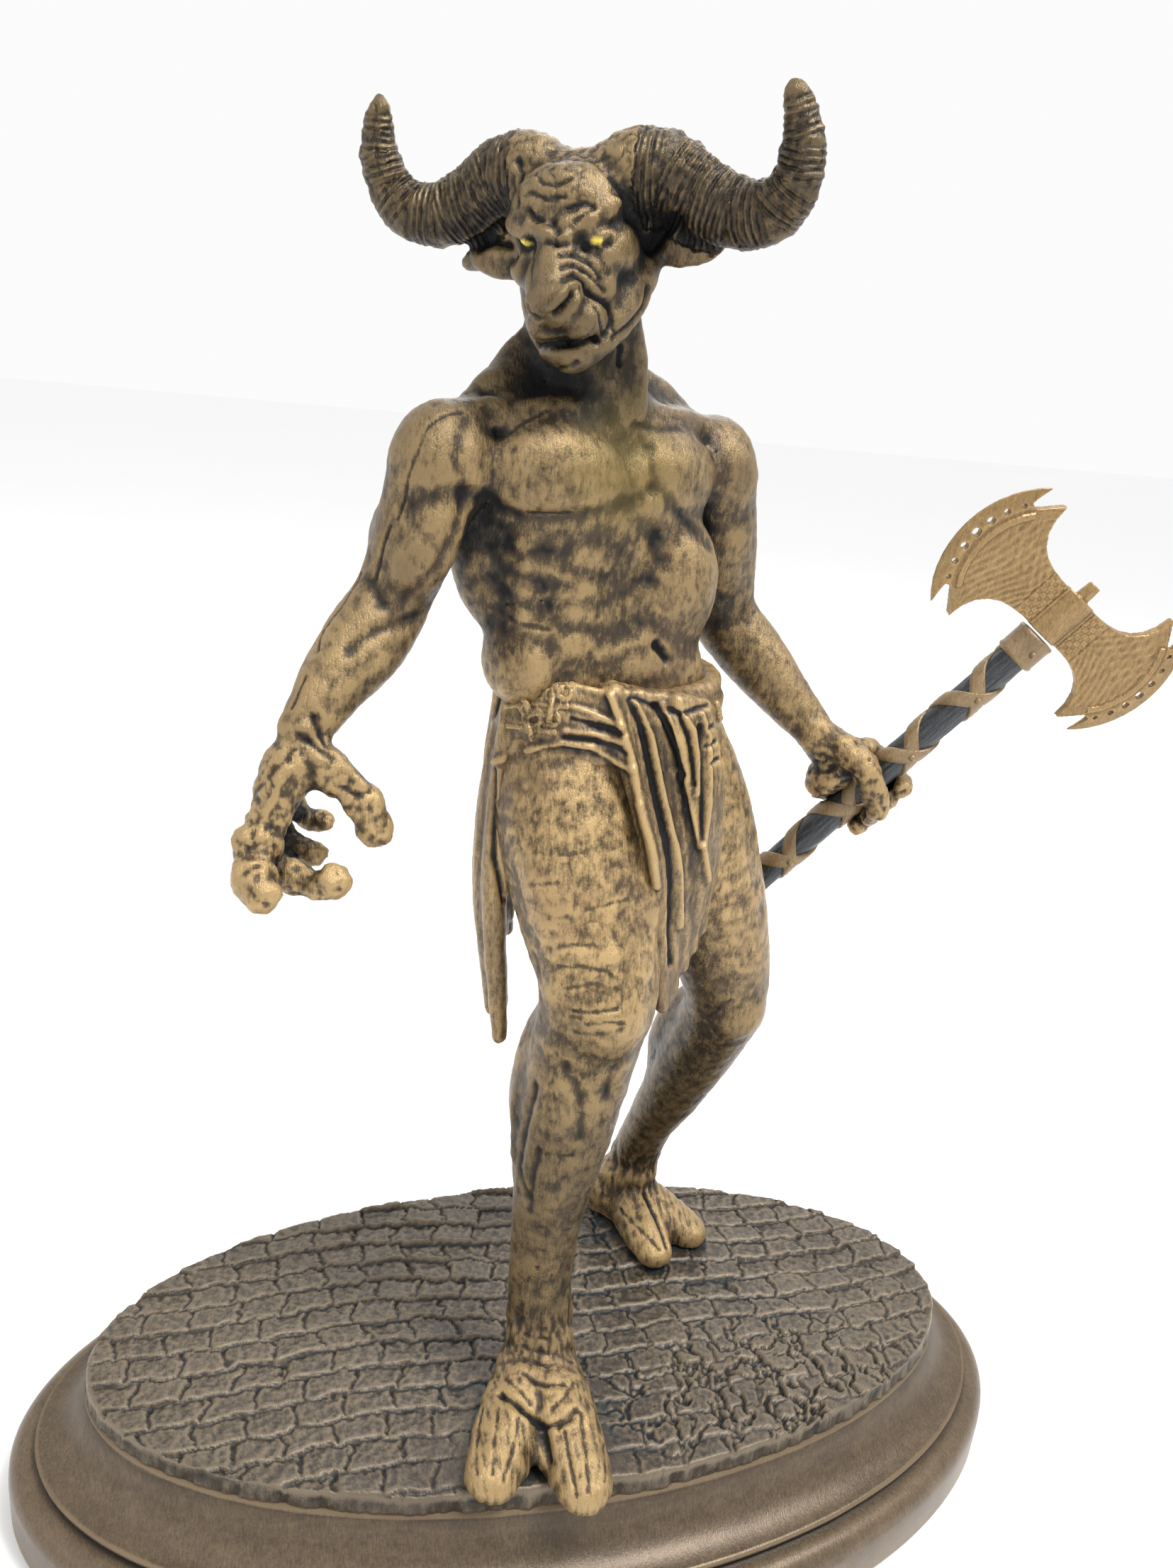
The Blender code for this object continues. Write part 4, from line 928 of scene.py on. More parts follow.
def finish_cloth(obj):
    """Folds, weave-like unevenness and paint."""
    mesh = obj.data
    tree = BVHTree.FromObject(obj, bpy.context.evaluated_depsgraph_get())
    points = points_of(mesh)
    normals = normals_of(mesh)
    points = strokes(points, normals, marks_on(tree, CLOTH_VIEWS))
    points = points + normals * (0.22 * noise_at(points * (1, 1, 0.3), 2.2, 3))[:, None]
    set_points(mesh, points)
    make_buckle(tree)
    make_chain(tree)
    thin_out(obj, 150000)
    obj.data.transform(FIGURE_PLACE)
    add_hollows(obj.data, 3, 22, 0.0002, 0.0014)
    add_shade(obj.data, BVHTree.FromObject(obj, bpy.context.evaluated_depsgraph_get()), 7, 0.05)
    finish_piece(obj, paint_cloth(), "figure")


def finish_piece(obj, paint, slot, *nodes):
    """Shading, paint and body, and hides the solids it stands for; the slot is not used."""
    obj.data.shade_smooth()
    obj.data.materials.clear()
    obj.data.materials.append(paint)
    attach(obj, "root")
    if nodes:
        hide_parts(*nodes)


# Ground and plinth

COBBLE_LENGTH = 0.0112
COBBLE_WIDTH = 0.0070
GROUND_RELIEF = 0.0022
HOOF_PRINTS = ((-0.019, -0.041, 0.011), (-0.003, -0.045, 0.011), (0.035, 0.024, 0.009), (0.044, 0.027, 0.009),
               (-0.007, -0.027, 0.012), (0.034, 0.034, 0.009))
GROUND_CELL = 0.00052


def scatter(row, column, salt):
    """A steady number from 0 to 1 for each cobble."""
    wave = np.sin(row * 12.9898 + column * 78.233 + salt * 37.719) * 43758.5453
    return wave - np.floor(wave)


def cobble_depth(x, y):
    """How far the ground lies below its highest level: rows of worn slabs, each with its front edge up."""
    flat = np.stack([x, y, 0 * x], axis=1)
    rough = noise_at(flat, 0.007, 3)
    chips = noise_at(flat + 0.3, 0.0022, 3)
    sway = 0.0022 * np.sin(x / 0.031) + 0.0012 * np.sin(x / 0.013 + 1.7) + 0.0012 * rough + 0.0004 * chips
    across = (y + sway) / COBBLE_WIDTH
    row = np.floor(across)
    along = x / COBBLE_LENGTH + scatter(row, 0, 1) + 0.08 * np.sin(y / 0.004) + 0.16 * rough + 0.05 * chips
    column = np.floor(along)
    side = along - column
    back = across - row
    worn = np.clip(1.3 - ((x - 0.052) / 0.045) ** 2 - ((y + 0.030) / 0.022) ** 2, 0, 1)
    step = 0.5 + 0.5 * scatter(row, column, 2)
    lean = (0.72 - 0.45 * worn) * step * back ** 0.7 + 0.16 * scatter(row, column, 5)
    front = np.clip(1 - back * COBBLE_WIDTH / (0.0007 + 0.0004 * rough), 0, 1)
    sides = np.clip(1 - np.minimum(side, 1 - side) * COBBLE_LENGTH / 0.0007, 0, 1)
    cracks = worn * np.clip(1 - np.abs(noise_at(flat, 0.012, 4)) * 9, 0, 1)
    joint = np.maximum(np.maximum(0.75 * front * (1 - 0.5 * worn), 0.34 * sides), 0.8 * cracks)
    depth = GROUND_RELIEF * np.clip(0.05 + lean + joint + 0.13 * chips, 0, 1.1)
    for tip_x, tip_y, reach in HOOF_PRINTS:
        close = np.clip(1.6 - np.hypot(x - tip_x, y - tip_y) / reach, 0, 1)
        depth *= 1 - 0.92 * close
    return depth


def make_ground():
    """An oval slab of cobbles: a square grid squeezed to the oval, with its rough rim and underside."""
    shape = bmesh.new()
    bmesh.ops.create_grid(shape, x_segments=round(2 * GROUND_HALF[0] / GROUND_CELL),
                          y_segments=round(2 * GROUND_HALF[1] / GROUND_CELL), size=1)
    mesh = bpy.data.meshes.new("cobble_slab")
    shape.to_mesh(mesh)
    shape.free()
    points = points_of(mesh)
    u, w = points[:, 0].copy(), points[:, 1].copy()
    points[:, 0] = (GROUND_HALF[0] - 0.0006) * u * np.sqrt(1 - w * w / 2)
    points[:, 1] = (GROUND_HALF[1] - 0.0006) * w * np.sqrt(1 - u * u / 2)
    points[:, 2] = GROUND_HIGH[2] - cobble_depth(points[:, 0], points[:, 1])
    rim = np.maximum(np.abs(u), np.abs(w)) > 0.999
    points[rim, 2] -= 0.0006
    set_points(mesh, points)
    shape = bmesh.new()
    shape.from_mesh(mesh)
    for share in (0.35, 0.75, 1.0):
        edges = [e for e in shape.edges if e.is_boundary]
        ring = bmesh.ops.extrude_edge_only(shape, edges=edges)["geom"]
        for v in ring:
            if isinstance(v, bmesh.types.BMVert):
                rough = noise.fractal(v.co / 0.004, 1.0, 2.0, 3)
                v.co.z += (GROUND_LOW[2] - v.co.z) * share
                if share < 1:
                    v.co.x *= 1 + 0.004 * rough
                    v.co.y *= 1 + 0.009 * rough
    bmesh.ops.holes_fill(shape, edges=[e for e in shape.edges if e.is_boundary], sides=0)
    bmesh.ops.recalc_face_normals(shape, faces=shape.faces[:])
    shape.to_mesh(mesh)
    shape.free()
    obj = link(bpy.data.objects.new("cobble_slab", mesh))
    add_hollows(mesh, 2, 14, 0.00018, 0.0007)
    # painted shadow: the cobbles' openness to the light is cast against the figure alone, so the paint
    # darkens them under and around it
    figure = bpy.data.objects["figure_skin"]
    tree = BVHTree.FromObject(figure, bpy.context.evaluated_depsgraph_get())
    add_shade(mesh, tree, 23, 0.09)
    finish_piece(obj, paint_cobbles(), "cobbles", "cobbled_ground")
    return obj


WALL_WAVES = 0.00012
PLINTH_SIDES = 360


def moulding():
    """The plinth's profile from the bottom up, as (inset from its widest, height)."""
    levels = [(0.0012, 0), (0.0003, 0.0005), (0, 0.0014), (0, 0.0098)]
    for k in range(1, 13):
        a = math.radians(90 * k / 12)
        levels.append((0.0048 * (1 - math.cos(a)), 0.0105 + 0.0048 * math.sin(a)))
    levels += [(0.0070, 0.0153), (0.0074, 0.0157), (0.0070, 0.0164), (0.0063, 0.0166), (0.0060, 0.0172),
               (0.0061, 0.0182)]
    for k in range(1, 21):
        a = math.radians(90 * k / 20)
        levels.append((0.0061 + 0.0113 * math.sin(a), 0.0182 + (PLINTH_HIGH[2] - 0.0182) * (1 - math.cos(a))))
    return levels


def make_plinth():
    """The moulded oval base, lofted through its profile, with the slight waves of hand finishing."""
    sides = PLINTH_SIDES
    shape = bmesh.new()
    rings = []
    for inset, height in moulding():
        ring = []
        for k in range(sides):
            a = math.tau * k / sides
            place = Vector((math.cos(a) * 6, math.sin(a) * 3, height * 400))
            wave = WALL_WAVES * noise.fractal(place, 1.0, 2.0, 3)
            x = (PLINTH_HALF[0] - inset - abs(wave)) * math.cos(a)
            y = (PLINTH_HALF[1] - inset - abs(wave)) * math.sin(a)
            ring.append(shape.verts.new((x, y, height)))
        rings.append(ring)
    for low, high in zip(rings, rings[1:]):
        for k in range(sides):
            after = (k + 1) % sides
            shape.faces.new((low[k], low[after], high[after], high[k]))
    shape.faces.new(rings[0][::-1])
    shape.faces.new(rings[-1])
    mesh = bpy.data.meshes.new("moulded_plinth")
    shape.to_mesh(mesh)
    shape.free()
    obj = link(bpy.data.objects.new("moulded_plinth", mesh))
    add_hollows(mesh, 1, 3, 0.0002, 0.0006)
    # painted shadow: the plinth's openness to the light is cast against the figure, so the paint darkens it
    # where the figure shelters it
    tree = BVHTree.FromObject(bpy.data.objects["figure_skin"], bpy.context.evaluated_depsgraph_get())
    add_shade(mesh, tree, 11, 0.09)
    finish_piece(obj, paint_plinth(), "plinth", "plinth")
    return obj


# The axe

STRAP_PITCH = 0.0195
STRAP_FRONT = 0.0328
STRAP_HALF = 0.0029
STRAP_THICKNESS = 0.0006
COLLAR_HEIGHT = 0.0070
COLLAR_RADIUS = 0.0046
STUD_RADIUS = 0.00085
FIST_HALF = 0.012


def wood_core():
    """The shaft's wooden core, with grain cut along it."""
    shape = bmesh.new()
    sides, rings = 64, 150
    rows = []
    for j in range(rings + 1):
        z = -SHAFT_BELOW_GRIP + (SHAFT_BELOW_GRIP + SHAFT_ABOVE_GRIP) * j / rings
        row = []
        for k in range(sides):
            a = math.tau * k / sides
            grain = noise.fractal(Vector((math.cos(a) * 5, math.sin(a) * 5, z * 160)), 1.0, 2.0, 2)
            r = SHAFT_RADIUS - STRAP_THICKNESS + 0.00022 * grain
            row.append(shape.verts.new((r * math.cos(a), r * math.sin(a), z)))
        rows.append(row)
    for low, high in zip(rows, rows[1:]):
        for k in range(sides):
            after = (k + 1) % sides
            shape.faces.new((low[k], low[after], high[after], high[k]))
    shape.faces.new(rows[0][::-1])
    shape.faces.new(rows[-1])
    return shape


def strap(hand):
    """A flat leather strap wound along the shaft, its edges thinner than its middle."""
    shape = bmesh.new()
    low = -SHAFT_BELOW_GRIP + 0.0004
    high = SHAFT_ABOVE_GRIP - COLLAR_HEIGHT + 0.001
    count = 200
    profile = [(-1, -2 * STRAP_THICKNESS), (1, -2 * STRAP_THICKNESS), (1, -0.00022), (0.86, 0), (0.3, 0.0001),
               (-0.3, 0.0001), (-0.86, 0), (-1, -0.00022)]
    rings = []
    for k in range(count + 1):
        z = low + (high - low) * k / count
        a = -math.pi / 2 + hand * math.tau * (z - STRAP_FRONT) / STRAP_PITCH
        lift = 0.00014 if hand > 0 else 0
        ring = []
        for across, out in profile:
            b = a + across * STRAP_HALF / SHAFT_RADIUS
            r = SHAFT_RADIUS + out + lift
            ring.append(shape.verts.new((r * math.cos(b), r * math.sin(b), z)))
        rings.append(ring)
    for low_ring, high_ring in zip(rings, rings[1:]):
        for k in range(len(profile)):
            after = (k + 1) % len(profile)
            shape.faces.new((low_ring[k], low_ring[after], high_ring[after], high_ring[k]))
    shape.faces.new(rings[0][::-1])
    shape.faces.new(rings[-1])
    bmesh.ops.recalc_face_normals(shape, faces=shape.faces[:])
    return shape


def put(shape, name, place):
    """A mesh object from a worked-out shape, in its place, at the origin."""
    mesh = bpy.data.meshes.new(name)
    shape.to_mesh(mesh)
    shape.free()
    mesh.transform(place)
    return link(bpy.data.objects.new(name, mesh))


def collar():
    """The band that closes the strapping, with rounded rims."""
    profile = [(0.0038, -0.0002), (0.0044, 0), (0.0047, 0.0006), (0.0045, 0.0012), (0.0045, 0.0058),
               (0.0047, 0.0064), (0.0045, 0.0069), (0.0036, 0.0070)]
    sides = 64
    foot = SHAFT_ABOVE_GRIP - COLLAR_HEIGHT
    turns = [math.tau * k / sides for k in range(sides)]
    shape = bmesh.new()
    rings = []
    for r, z in profile:
        rings.append([shape.verts.new((r * math.cos(a), r * math.sin(a), foot + z)) for a in turns])
    for low, high in zip(rings, rings[1:]):
        for k in range(sides):
            after = (k + 1) % sides
            shape.faces.new((low[k], low[after], high[after], high[k]))
    shape.faces.new(rings[0][::-1])
    shape.faces.new(rings[-1])
    return shape


def beads_tree():
    """Geometry Nodes: a round bead on every point, made one mesh."""
    tree = bpy.data.node_groups.new("beads_on_points", "GeometryNodeTree")
    tree.interface.new_socket("Geometry", in_out="INPUT", socket_type="NodeSocketGeometry")
    radius = tree.interface.new_socket("Bead Radius", in_out="INPUT", socket_type="NodeSocketFloat")
    paint = tree.interface.new_socket("Paint", in_out="INPUT", socket_type="NodeSocketMaterial")
    tree.interface.new_socket("Geometry", in_out="OUTPUT", socket_type="NodeSocketGeometry")
    start = tree.nodes.new("NodeGroupInput")
    end = tree.nodes.new("NodeGroupOutput")
    ball = tree.nodes.new("GeometryNodeMeshUVSphere")
    ball.inputs["Segments"].default_value = 14
    ball.inputs["Rings"].default_value = 9
    spread = tree.nodes.new("GeometryNodeInstanceOnPoints")
    real = tree.nodes.new("GeometryNodeRealizeInstances")
    dress = tree.nodes.new("GeometryNodeSetMaterial")
    tree.links.new(start.outputs["Bead Radius"], ball.inputs["Radius"])
    tree.links.new(start.outputs["Geometry"], spread.inputs["Points"])
    tree.links.new(ball.outputs["Mesh"], spread.inputs["Instance"])
    tree.links.new(spread.outputs["Instances"], real.inputs["Geometry"])
    tree.links.new(real.outputs["Geometry"], dress.inputs["Geometry"])
    tree.links.new(start.outputs["Paint"], dress.inputs["Material"])
    tree.links.new(dress.outputs["Geometry"], end.inputs["Geometry"])
    return tree, radius.identifier, paint.identifier


def beads(name, places, size, paint, slot):
    """Beads at places, through the bead tree, as one plain mesh."""
    mesh = bpy.data.meshes.new(name)
    mesh.from_pydata([tuple(p) for p in places], [], [])
    obj = link(bpy.data.objects.new(name, mesh))
    tree, radius_key, paint_key = BEADS
    tool = obj.modifiers.new("beads", "NODES")
    tool.node_group = tree
    tool[radius_key] = size
    tool[paint_key] = paint
    settle(obj)
    plain_attributes(obj.data)
    finish_piece(obj, paint, slot)
    return obj


def plain_attributes(mesh):
    """Small trim lies open to the light and in no hollow."""
    count = len(mesh.vertices)
    for name, value in (("fine_hollow", 0.42), ("broad_hollow", 0.45), ("shade", 0.85)):
        set_attribute(mesh, name, np.full(count, value))


def make_handle():
    """The shaft with its straps, collar and studs."""
    leather = paint_straps()
    core = put(wood_core(), "shaft_core", AXE)
    add_hollows(core.data, 1, 4, 0.0001, 0.0004)
    set_attribute(core.data, "shade", np.full(len(core.data.vertices), 0.6))
    finish_piece(core, paint_wood(), "axe_handle", "axe_handle")
    for name, hand in (("strap_left", -1), ("strap_right", 1)):
        band = put(strap(hand), name, AXE)
        plain_attributes(band.data)
        finish_piece(band, leather, "axe_handle")
    ring = put(collar(), "shaft_collar", AXE)
    plain_attributes(ring.data)
    finish_piece(ring, leather, "axe_handle")
    places = []
    stud_reach = SHAFT_RADIUS * 1.04
    for k in range(-4, 2):
        for half in (0, 1):
            z = STRAP_FRONT + (k + half / 2) * STRAP_PITCH
            a = -math.pi / 2 + half * math.pi
            on_strap = -SHAFT_BELOW_GRIP + 0.003 < z < SHAFT_ABOVE_GRIP - COLLAR_HEIGHT
            if on_strap and abs(z) > FIST_HALF:
                places.append(AXE @ Vector((stud_reach * math.cos(a), stud_reach * math.sin(a), z)))
    collar_middle = SHAFT_ABOVE_GRIP - COLLAR_HEIGHT / 2
    for a in (-math.pi / 2, math.pi / 2):
        places.append(AXE @ Vector((COLLAR_RADIUS * math.cos(a), COLLAR_RADIUS * math.sin(a), collar_middle)))
    beads("shaft_studs", places, STUD_RADIUS, leather, "axe_handle")


BLADE_REACH = 0.0333
BLADE_HALF_HEIGHT = 0.0166
SOCKET_HALF_WIDTH = 0.0044
SOCKET_HALF_HEIGHT = 0.0056
SOCKET_FOOT = 0.0521
HEAD_PLACE = AXE @ Matrix.Translation((0, 0, SOCKET_FOOT + SOCKET_HALF_HEIGHT))
RELIEF_HEIGHT = 0.00013


def blade_relief(x, z):
    """Height of the ornament on the plate: bands, scales and a fret towards the socket."""
    sagitta = BLADE_REACH * 0.245
    radius = (BLADE_HALF_HEIGHT ** 2 + sagitta ** 2) / (2 * sagitta)
    out = np.abs(x)
    reach = np.hypot(out - (BLADE_REACH - radius), z) * np.where(out > BLADE_REACH - radius, 1, -1)
    turn = np.arctan2(z, out + 0.004)
    web = (reach < radius * 0.69) & (out > SOCKET_HALF_WIDTH + 0.0004)
    scales = np.sin(out / 0.00115 * math.pi + 2.2 * np.cos(turn * 9)) * np.cos(turn * 26 + out / 0.0016)
    fret = np.sign(np.sin(z / 0.0011 * math.pi)) * np.sign(np.sin((out - 0.0045) / 0.0013 * math.pi))
    near = out < 0.0098
    relief = np.where(near, 0.5 * fret, scales)
    relief = np.where(web, relief, 0)
    groove = np.where(np.abs(out - 0.0101) < 0.0003, -1.2, 0)
    groove += np.where(np.abs(out - 0.0049) < 0.00025, -1.5, 0)
    border = np.exp(-((reach - radius * 0.80) / 0.0004) ** 2) * -1.0
    return RELIEF_HEIGHT * (relief + groove + np.where(out > BLADE_REACH - radius, border, 0))


def make_axe_head():
    """The pierced plate with its ornament raised on both faces and its edge drawn thin."""
    source = NODES["axe_head"].data.copy()
    shape = bmesh.new()
    shape.from_mesh(source)
    bmesh.ops.remove_doubles(shape, verts=shape.verts[:], dist=1e-6)
    shape.to_mesh(source)
    shape.free()
    obj = link(bpy.data.objects.new("axe_blades", source))
    skin_over(obj, 0.00024, 2)
    mesh = obj.data
    mesh.transform(HEAD_PLACE.inverted())
    points = points_of(mesh)
    normals = normals_of(mesh)
    facing = np.clip((np.abs(normals[:, 1]) - 0.75) / 0.2, 0, 1)
    lift = blade_relief(points[:, 0], points[:, 2]) * facing
    lift += 0.00005 * noise_at(points, 0.0016, 2)
    points = points + normals * lift[:, None]
    edge = np.clip((np.hypot(np.abs(points[:, 0]) - 0.0131, points[:, 2]) - 0.0172) / 0.0030, 0, 1)
    edge = np.where(np.abs(points[:, 0]) > 0.0131, edge, 0)
    points[:, 1] *= 1 - 0.75 * edge
    set_points(mesh, points)
    thin_out(obj, 150000)
    obj.data.transform(HEAD_PLACE)
    add_hollows(obj.data, 2, 12, 0.00012, 0.0006)
    set_attribute(obj.data, "shade", np.full(len(obj.data.vertices), 0.9))
    finish_piece(obj, paint_brass(), "axe_head", "axe_head")


# Belt ornament

# Its rings as (x, y, radius) and its bars as runs, measured in the enlarged view of the cloth
BUCKLE_RINGS = ((330, 150, 38), (385, 155, 30), (300, 215, 34), (370, 215, 34), (440, 160, 26),
                (320, 265, 26), (395, 265, 22), (270, 165, 30))
BUCKLE_BARS = (((215, 150), (330, 115), (450, 130)), ((250, 130), (300, 240), (330, 420)),
               ((395, 130), (375, 280), (330, 420)), ((210, 215), (320, 205), (450, 215)),
               ((280, 260), (310, 340), (330, 420)), ((470, 70), (440, 130), (400, 190)),
               ((215, 290), (300, 300), (400, 320)))


def make_buckle(tree):
    """Openwork of rings and bars on the right hip."""
    clay = Clay()
    for x, y, size in BUCKLE_RINGS:
        turns = [math.tau * k / 10 for k in range(11)]
        ring = [(x + size * math.cos(a), y + size * math.sin(a)) for a in turns]
        clay_line(clay, tree, ring, 0.62)
    for bar in BUCKLE_BARS:
        clay_line(clay, tree, bar, 0.7)
    obj = link(bpy.data.objects.new("belt_ornament", clay.mesh("belt_ornament")))
    skin_over(obj, 0.28, 2)
    points = points_of(obj.data)
    set_points(obj.data, points + normals_of(obj.data) * (0.12 * noise_at(points, 0.9, 2))[:, None])
    obj.data.transform(FIGURE_PLACE)
    add_hollows(obj.data, 2, 10, 0.00015, 0.0008)
    set_attribute(obj.data, "shade", np.full(len(obj.data.vertices), 0.75))
    finish_piece(obj, paint_trim(), "figure")


def clay_line(clay, tree, places, thick):
    """A thin round bar that follows the skin under photograph positions."""
    run = seen_points(tree, CLOTH_VIEW, places)
    if len(run) > 1:
        clay.sweep([(*p, thick) for p in run], step=0.8)


CHAIN = ((1050, 205), (1062, 260), (1075, 320), (1085, 380), (1098, 450), (1108, 520), (1112, 570))


def make_chain(tree):
    """A string of beads down the left hip."""
    run = seen_points(tree, CLOTH_VIEW, [(x - 14, y) for x, y in CHAIN])
    if len(run) < 2:
        return
    dense = smooth_run([(*p, 1.0) for p in run], 1.45)
    places = [FIGURE_PLACE @ p.to_3d() for p in dense]
    beads("hip_chain", places, 0.00095, paint_trim(), "figure")


# Paints

def group_socket(group, name, kind, default=None, out=False):
    """A named input or output of a shader group."""
    socket = group.interface.new_socket(name, in_out="OUTPUT" if out else "INPUT", socket_type=kind)
    if default is not None:
        socket.default_value = default
    return socket


def maths(tree, operation, a, b=None, c=None, clamp=False):
    """A Math node's result, from numbers or sockets."""
    node = tree.nodes.new("ShaderNodeMath")
    node.operation = operation
    node.use_clamp = clamp
    for socket, value in zip(node.inputs, (a, b, c)):
        if value is None:
            continue
        if isinstance(value, (int, float)):
            socket.default_value = value
        else:
            tree.links.new(value, socket)
    return node.outputs[0]


def mixed(tree, factor, a, b):
    """Two colours mixed by a factor."""
    node = tree.nodes.new("ShaderNodeMix")
    node.data_type = "RGBA"
    for socket, value in ((node.inputs[0], factor), (node.inputs[6], a), (node.inputs[7], b)):
        if isinstance(value, (int, float)):
            socket.default_value = value
        elif isinstance(value, tuple):
            socket.default_value = (*value, 1)
        else:
            tree.links.new(value, socket)
    return node.outputs[2]


def noise_node(tree, where, scale, detail=4, rough=0.6, squeeze=None):
    """Noise over those coordinates, squeezed where asked."""
    if squeeze:
        turn = tree.nodes.new("ShaderNodeMapping")
        turn.inputs["Scale"].default_value = squeeze
        turn.inputs["Rotation"].default_value = (0.3, 0.5, 0.2)
        tree.links.new(where, turn.inputs["Vector"])
        where = turn.outputs["Vector"]
    node = tree.nodes.new("ShaderNodeTexNoise")
    node.inputs["Scale"].default_value = scale
    node.inputs["Detail"].default_value = detail
    node.inputs["Roughness"].default_value = rough
    tree.links.new(where, node.inputs["Vector"])
    return node.outputs["Fac"]


def reading(tree, name):
    """A vertex attribute, as a paint reads it."""
    node = tree.nodes.new("ShaderNodeAttribute")
    node.attribute_name = name
    return node.outputs["Fac"]


def make_aged_group():
    """Dry-brushed metal paint: light on ridges, with painted light on faces open to the sky; dark grime in
    hollows, with painted shade where little light reaches; blue-grey bloom in broad hollows, also painted as
    a shade tint under things.
    """
    group = bpy.data.node_groups.new("aged_paint", "ShaderNodeTree")
    colours = {"Light": (0.5, 0.4, 0.2, 1), "Middle": (0.2, 0.13, 0.06, 1), "Rose": (0.2, 0.1, 0.07, 1),
               "Dark": (0.02, 0.02, 0.02, 1), "Bloom And Shade": (0.05, 0.09, 0.13, 1)}
    amounts = {"Rub And Light": 1.0, "Grime And Shade": 1.0, "Bloom Amount": 1.0, "Rose Amount": 0.5, "Grain": 1.0}
    for name, colour in colours.items():
        group_socket(group, name, "NodeSocketColor", colour)
    for name, amount in amounts.items():
        group_socket(group, name, "NodeSocketFloat", amount)
    group_socket(group, "Colour", "NodeSocketColor", out=True)
    group_socket(group, "Roughness", "NodeSocketFloat", out=True)
    group_socket(group, "Height", "NodeSocketFloat", out=True)
    start = group.nodes.new("NodeGroupInput")
    end = group.nodes.new("NodeGroupOutput")
    value = start.outputs
    where = group.nodes.new("ShaderNodeTexCoord").outputs["Object"]
    patch = noise_node(group, where, 42, 4, 0.6)
    patch_two = noise_node(group, where, 95, 5, 0.65)
    mottle = noise_node(group, where, 420, 5, 0.7)
    speck = noise_node(group, where, 1900, 3, 0.75)
    hair = noise_node(group, where, 2600, 3, 0.65, (1, 0.3, 0.22))
    fine = reading(group, "fine_hollow")
    broad = reading(group, "broad_hollow")
    shade = reading(group, "shade")
    texture = maths(group, "ADD", maths(group, "MULTIPLY", speck, 0.45), maths(group, "MULTIPLY", hair, 0.55))
    texture = maths(group, "SUBTRACT", texture, 0.5)
    ridge = maths(group, "MULTIPLY", maths(group, "SUBTRACT", 0.5, fine), 2.3)
    # painted light: faces open to the sky and turned up are painted lighter, besides the dry brush on ridges
    open_sky = maths(group, "MULTIPLY", maths(group, "SUBTRACT", shade, 0.55), 1.2)
    rub_and_light = maths(group, "ADD", maths(group, "ADD", ridge, open_sky),
                maths(group, "MULTIPLY", maths(group, "MULTIPLY", texture, 2.8), value["Grain"]))
    rub_and_light = maths(group, "ADD", rub_and_light, maths(group, "MULTIPLY", maths(group, "SUBTRACT", mottle, 0.5), 0.8))
    rub_and_light = maths(group, "ADD", rub_and_light, maths(group, "MULTIPLY", maths(group, "SUBTRACT", patch_two, 0.5), 0.9))
    rub_and_light = maths(group, "MULTIPLY", maths(group, "ADD", rub_and_light, 0.04), value["Rub And Light"], clamp=True)
    colour = mixed(group, rub_and_light, value["Middle"], value["Light"])
    rose = maths(group, "MULTIPLY", maths(group, "SUBTRACT", patch, 0.5, clamp=True), 5.0)
    rose = maths(group, "MULTIPLY", rose, value["Rose Amount"], clamp=True)
    colour = mixed(group, rose, colour, value["Rose"])
    # painted shade: a blue-grey tint where little light reaches and on faces turned down, added to the bloom
    # in broad hollows
    shade_tint = maths(group, "MULTIPLY", maths(group, "SUBTRACT", 0.62, shade), 1.9)
    low = maths(group, "MULTIPLY", maths(group, "SUBTRACT", broad, 0.5), 2.2)
    bloom_and_shade = maths(group, "ADD", maths(group, "ADD", shade_tint, low),
                  maths(group, "MULTIPLY", maths(group, "SUBTRACT", patch_two, 0.56), 2.2))
    bloom_and_shade = maths(group, "ADD", bloom_and_shade, maths(group, "MULTIPLY", texture, 1.0))
    bloom_and_shade = maths(group, "MULTIPLY", bloom_and_shade, value["Bloom Amount"], clamp=True)
    colour = mixed(group, bloom_and_shade, colour, value["Bloom And Shade"])
    # dark grime in fine and broad hollows, and painted shade where little light reaches and on faces turned
    # down
    grime_and_shade = maths(group, "ADD", maths(group, "MULTIPLY", maths(group, "SUBTRACT", fine, 0.5), 2.6),
                 maths(group, "MULTIPLY", maths(group, "SUBTRACT", 0.58, shade), 2.3))
    grime_and_shade = maths(group, "ADD", grime_and_shade, maths(group, "MULTIPLY", maths(group, "SUBTRACT", broad, 0.5), 1.6))
    grime_and_shade = maths(group, "ADD", grime_and_shade, maths(group, "MULTIPLY", maths(group, "SUBTRACT", mottle, 0.62), 0.8))
    grime_and_shade = maths(group, "MULTIPLY", grime_and_shade, value["Grime And Shade"], clamp=True)
    colour = mixed(group, grime_and_shade, colour, value["Dark"])
    rough = maths(group, "ADD", 0.36, maths(group, "MULTIPLY", grime_and_shade, 0.3))
    rough = maths(group, "ADD", rough, maths(group, "MULTIPLY", texture, 0.35), clamp=True)
    group.links.new(colour, end.inputs["Colour"])
    group.links.new(rough, end.inputs["Roughness"])
    group.links.new(texture, end.inputs["Height"])
    return group


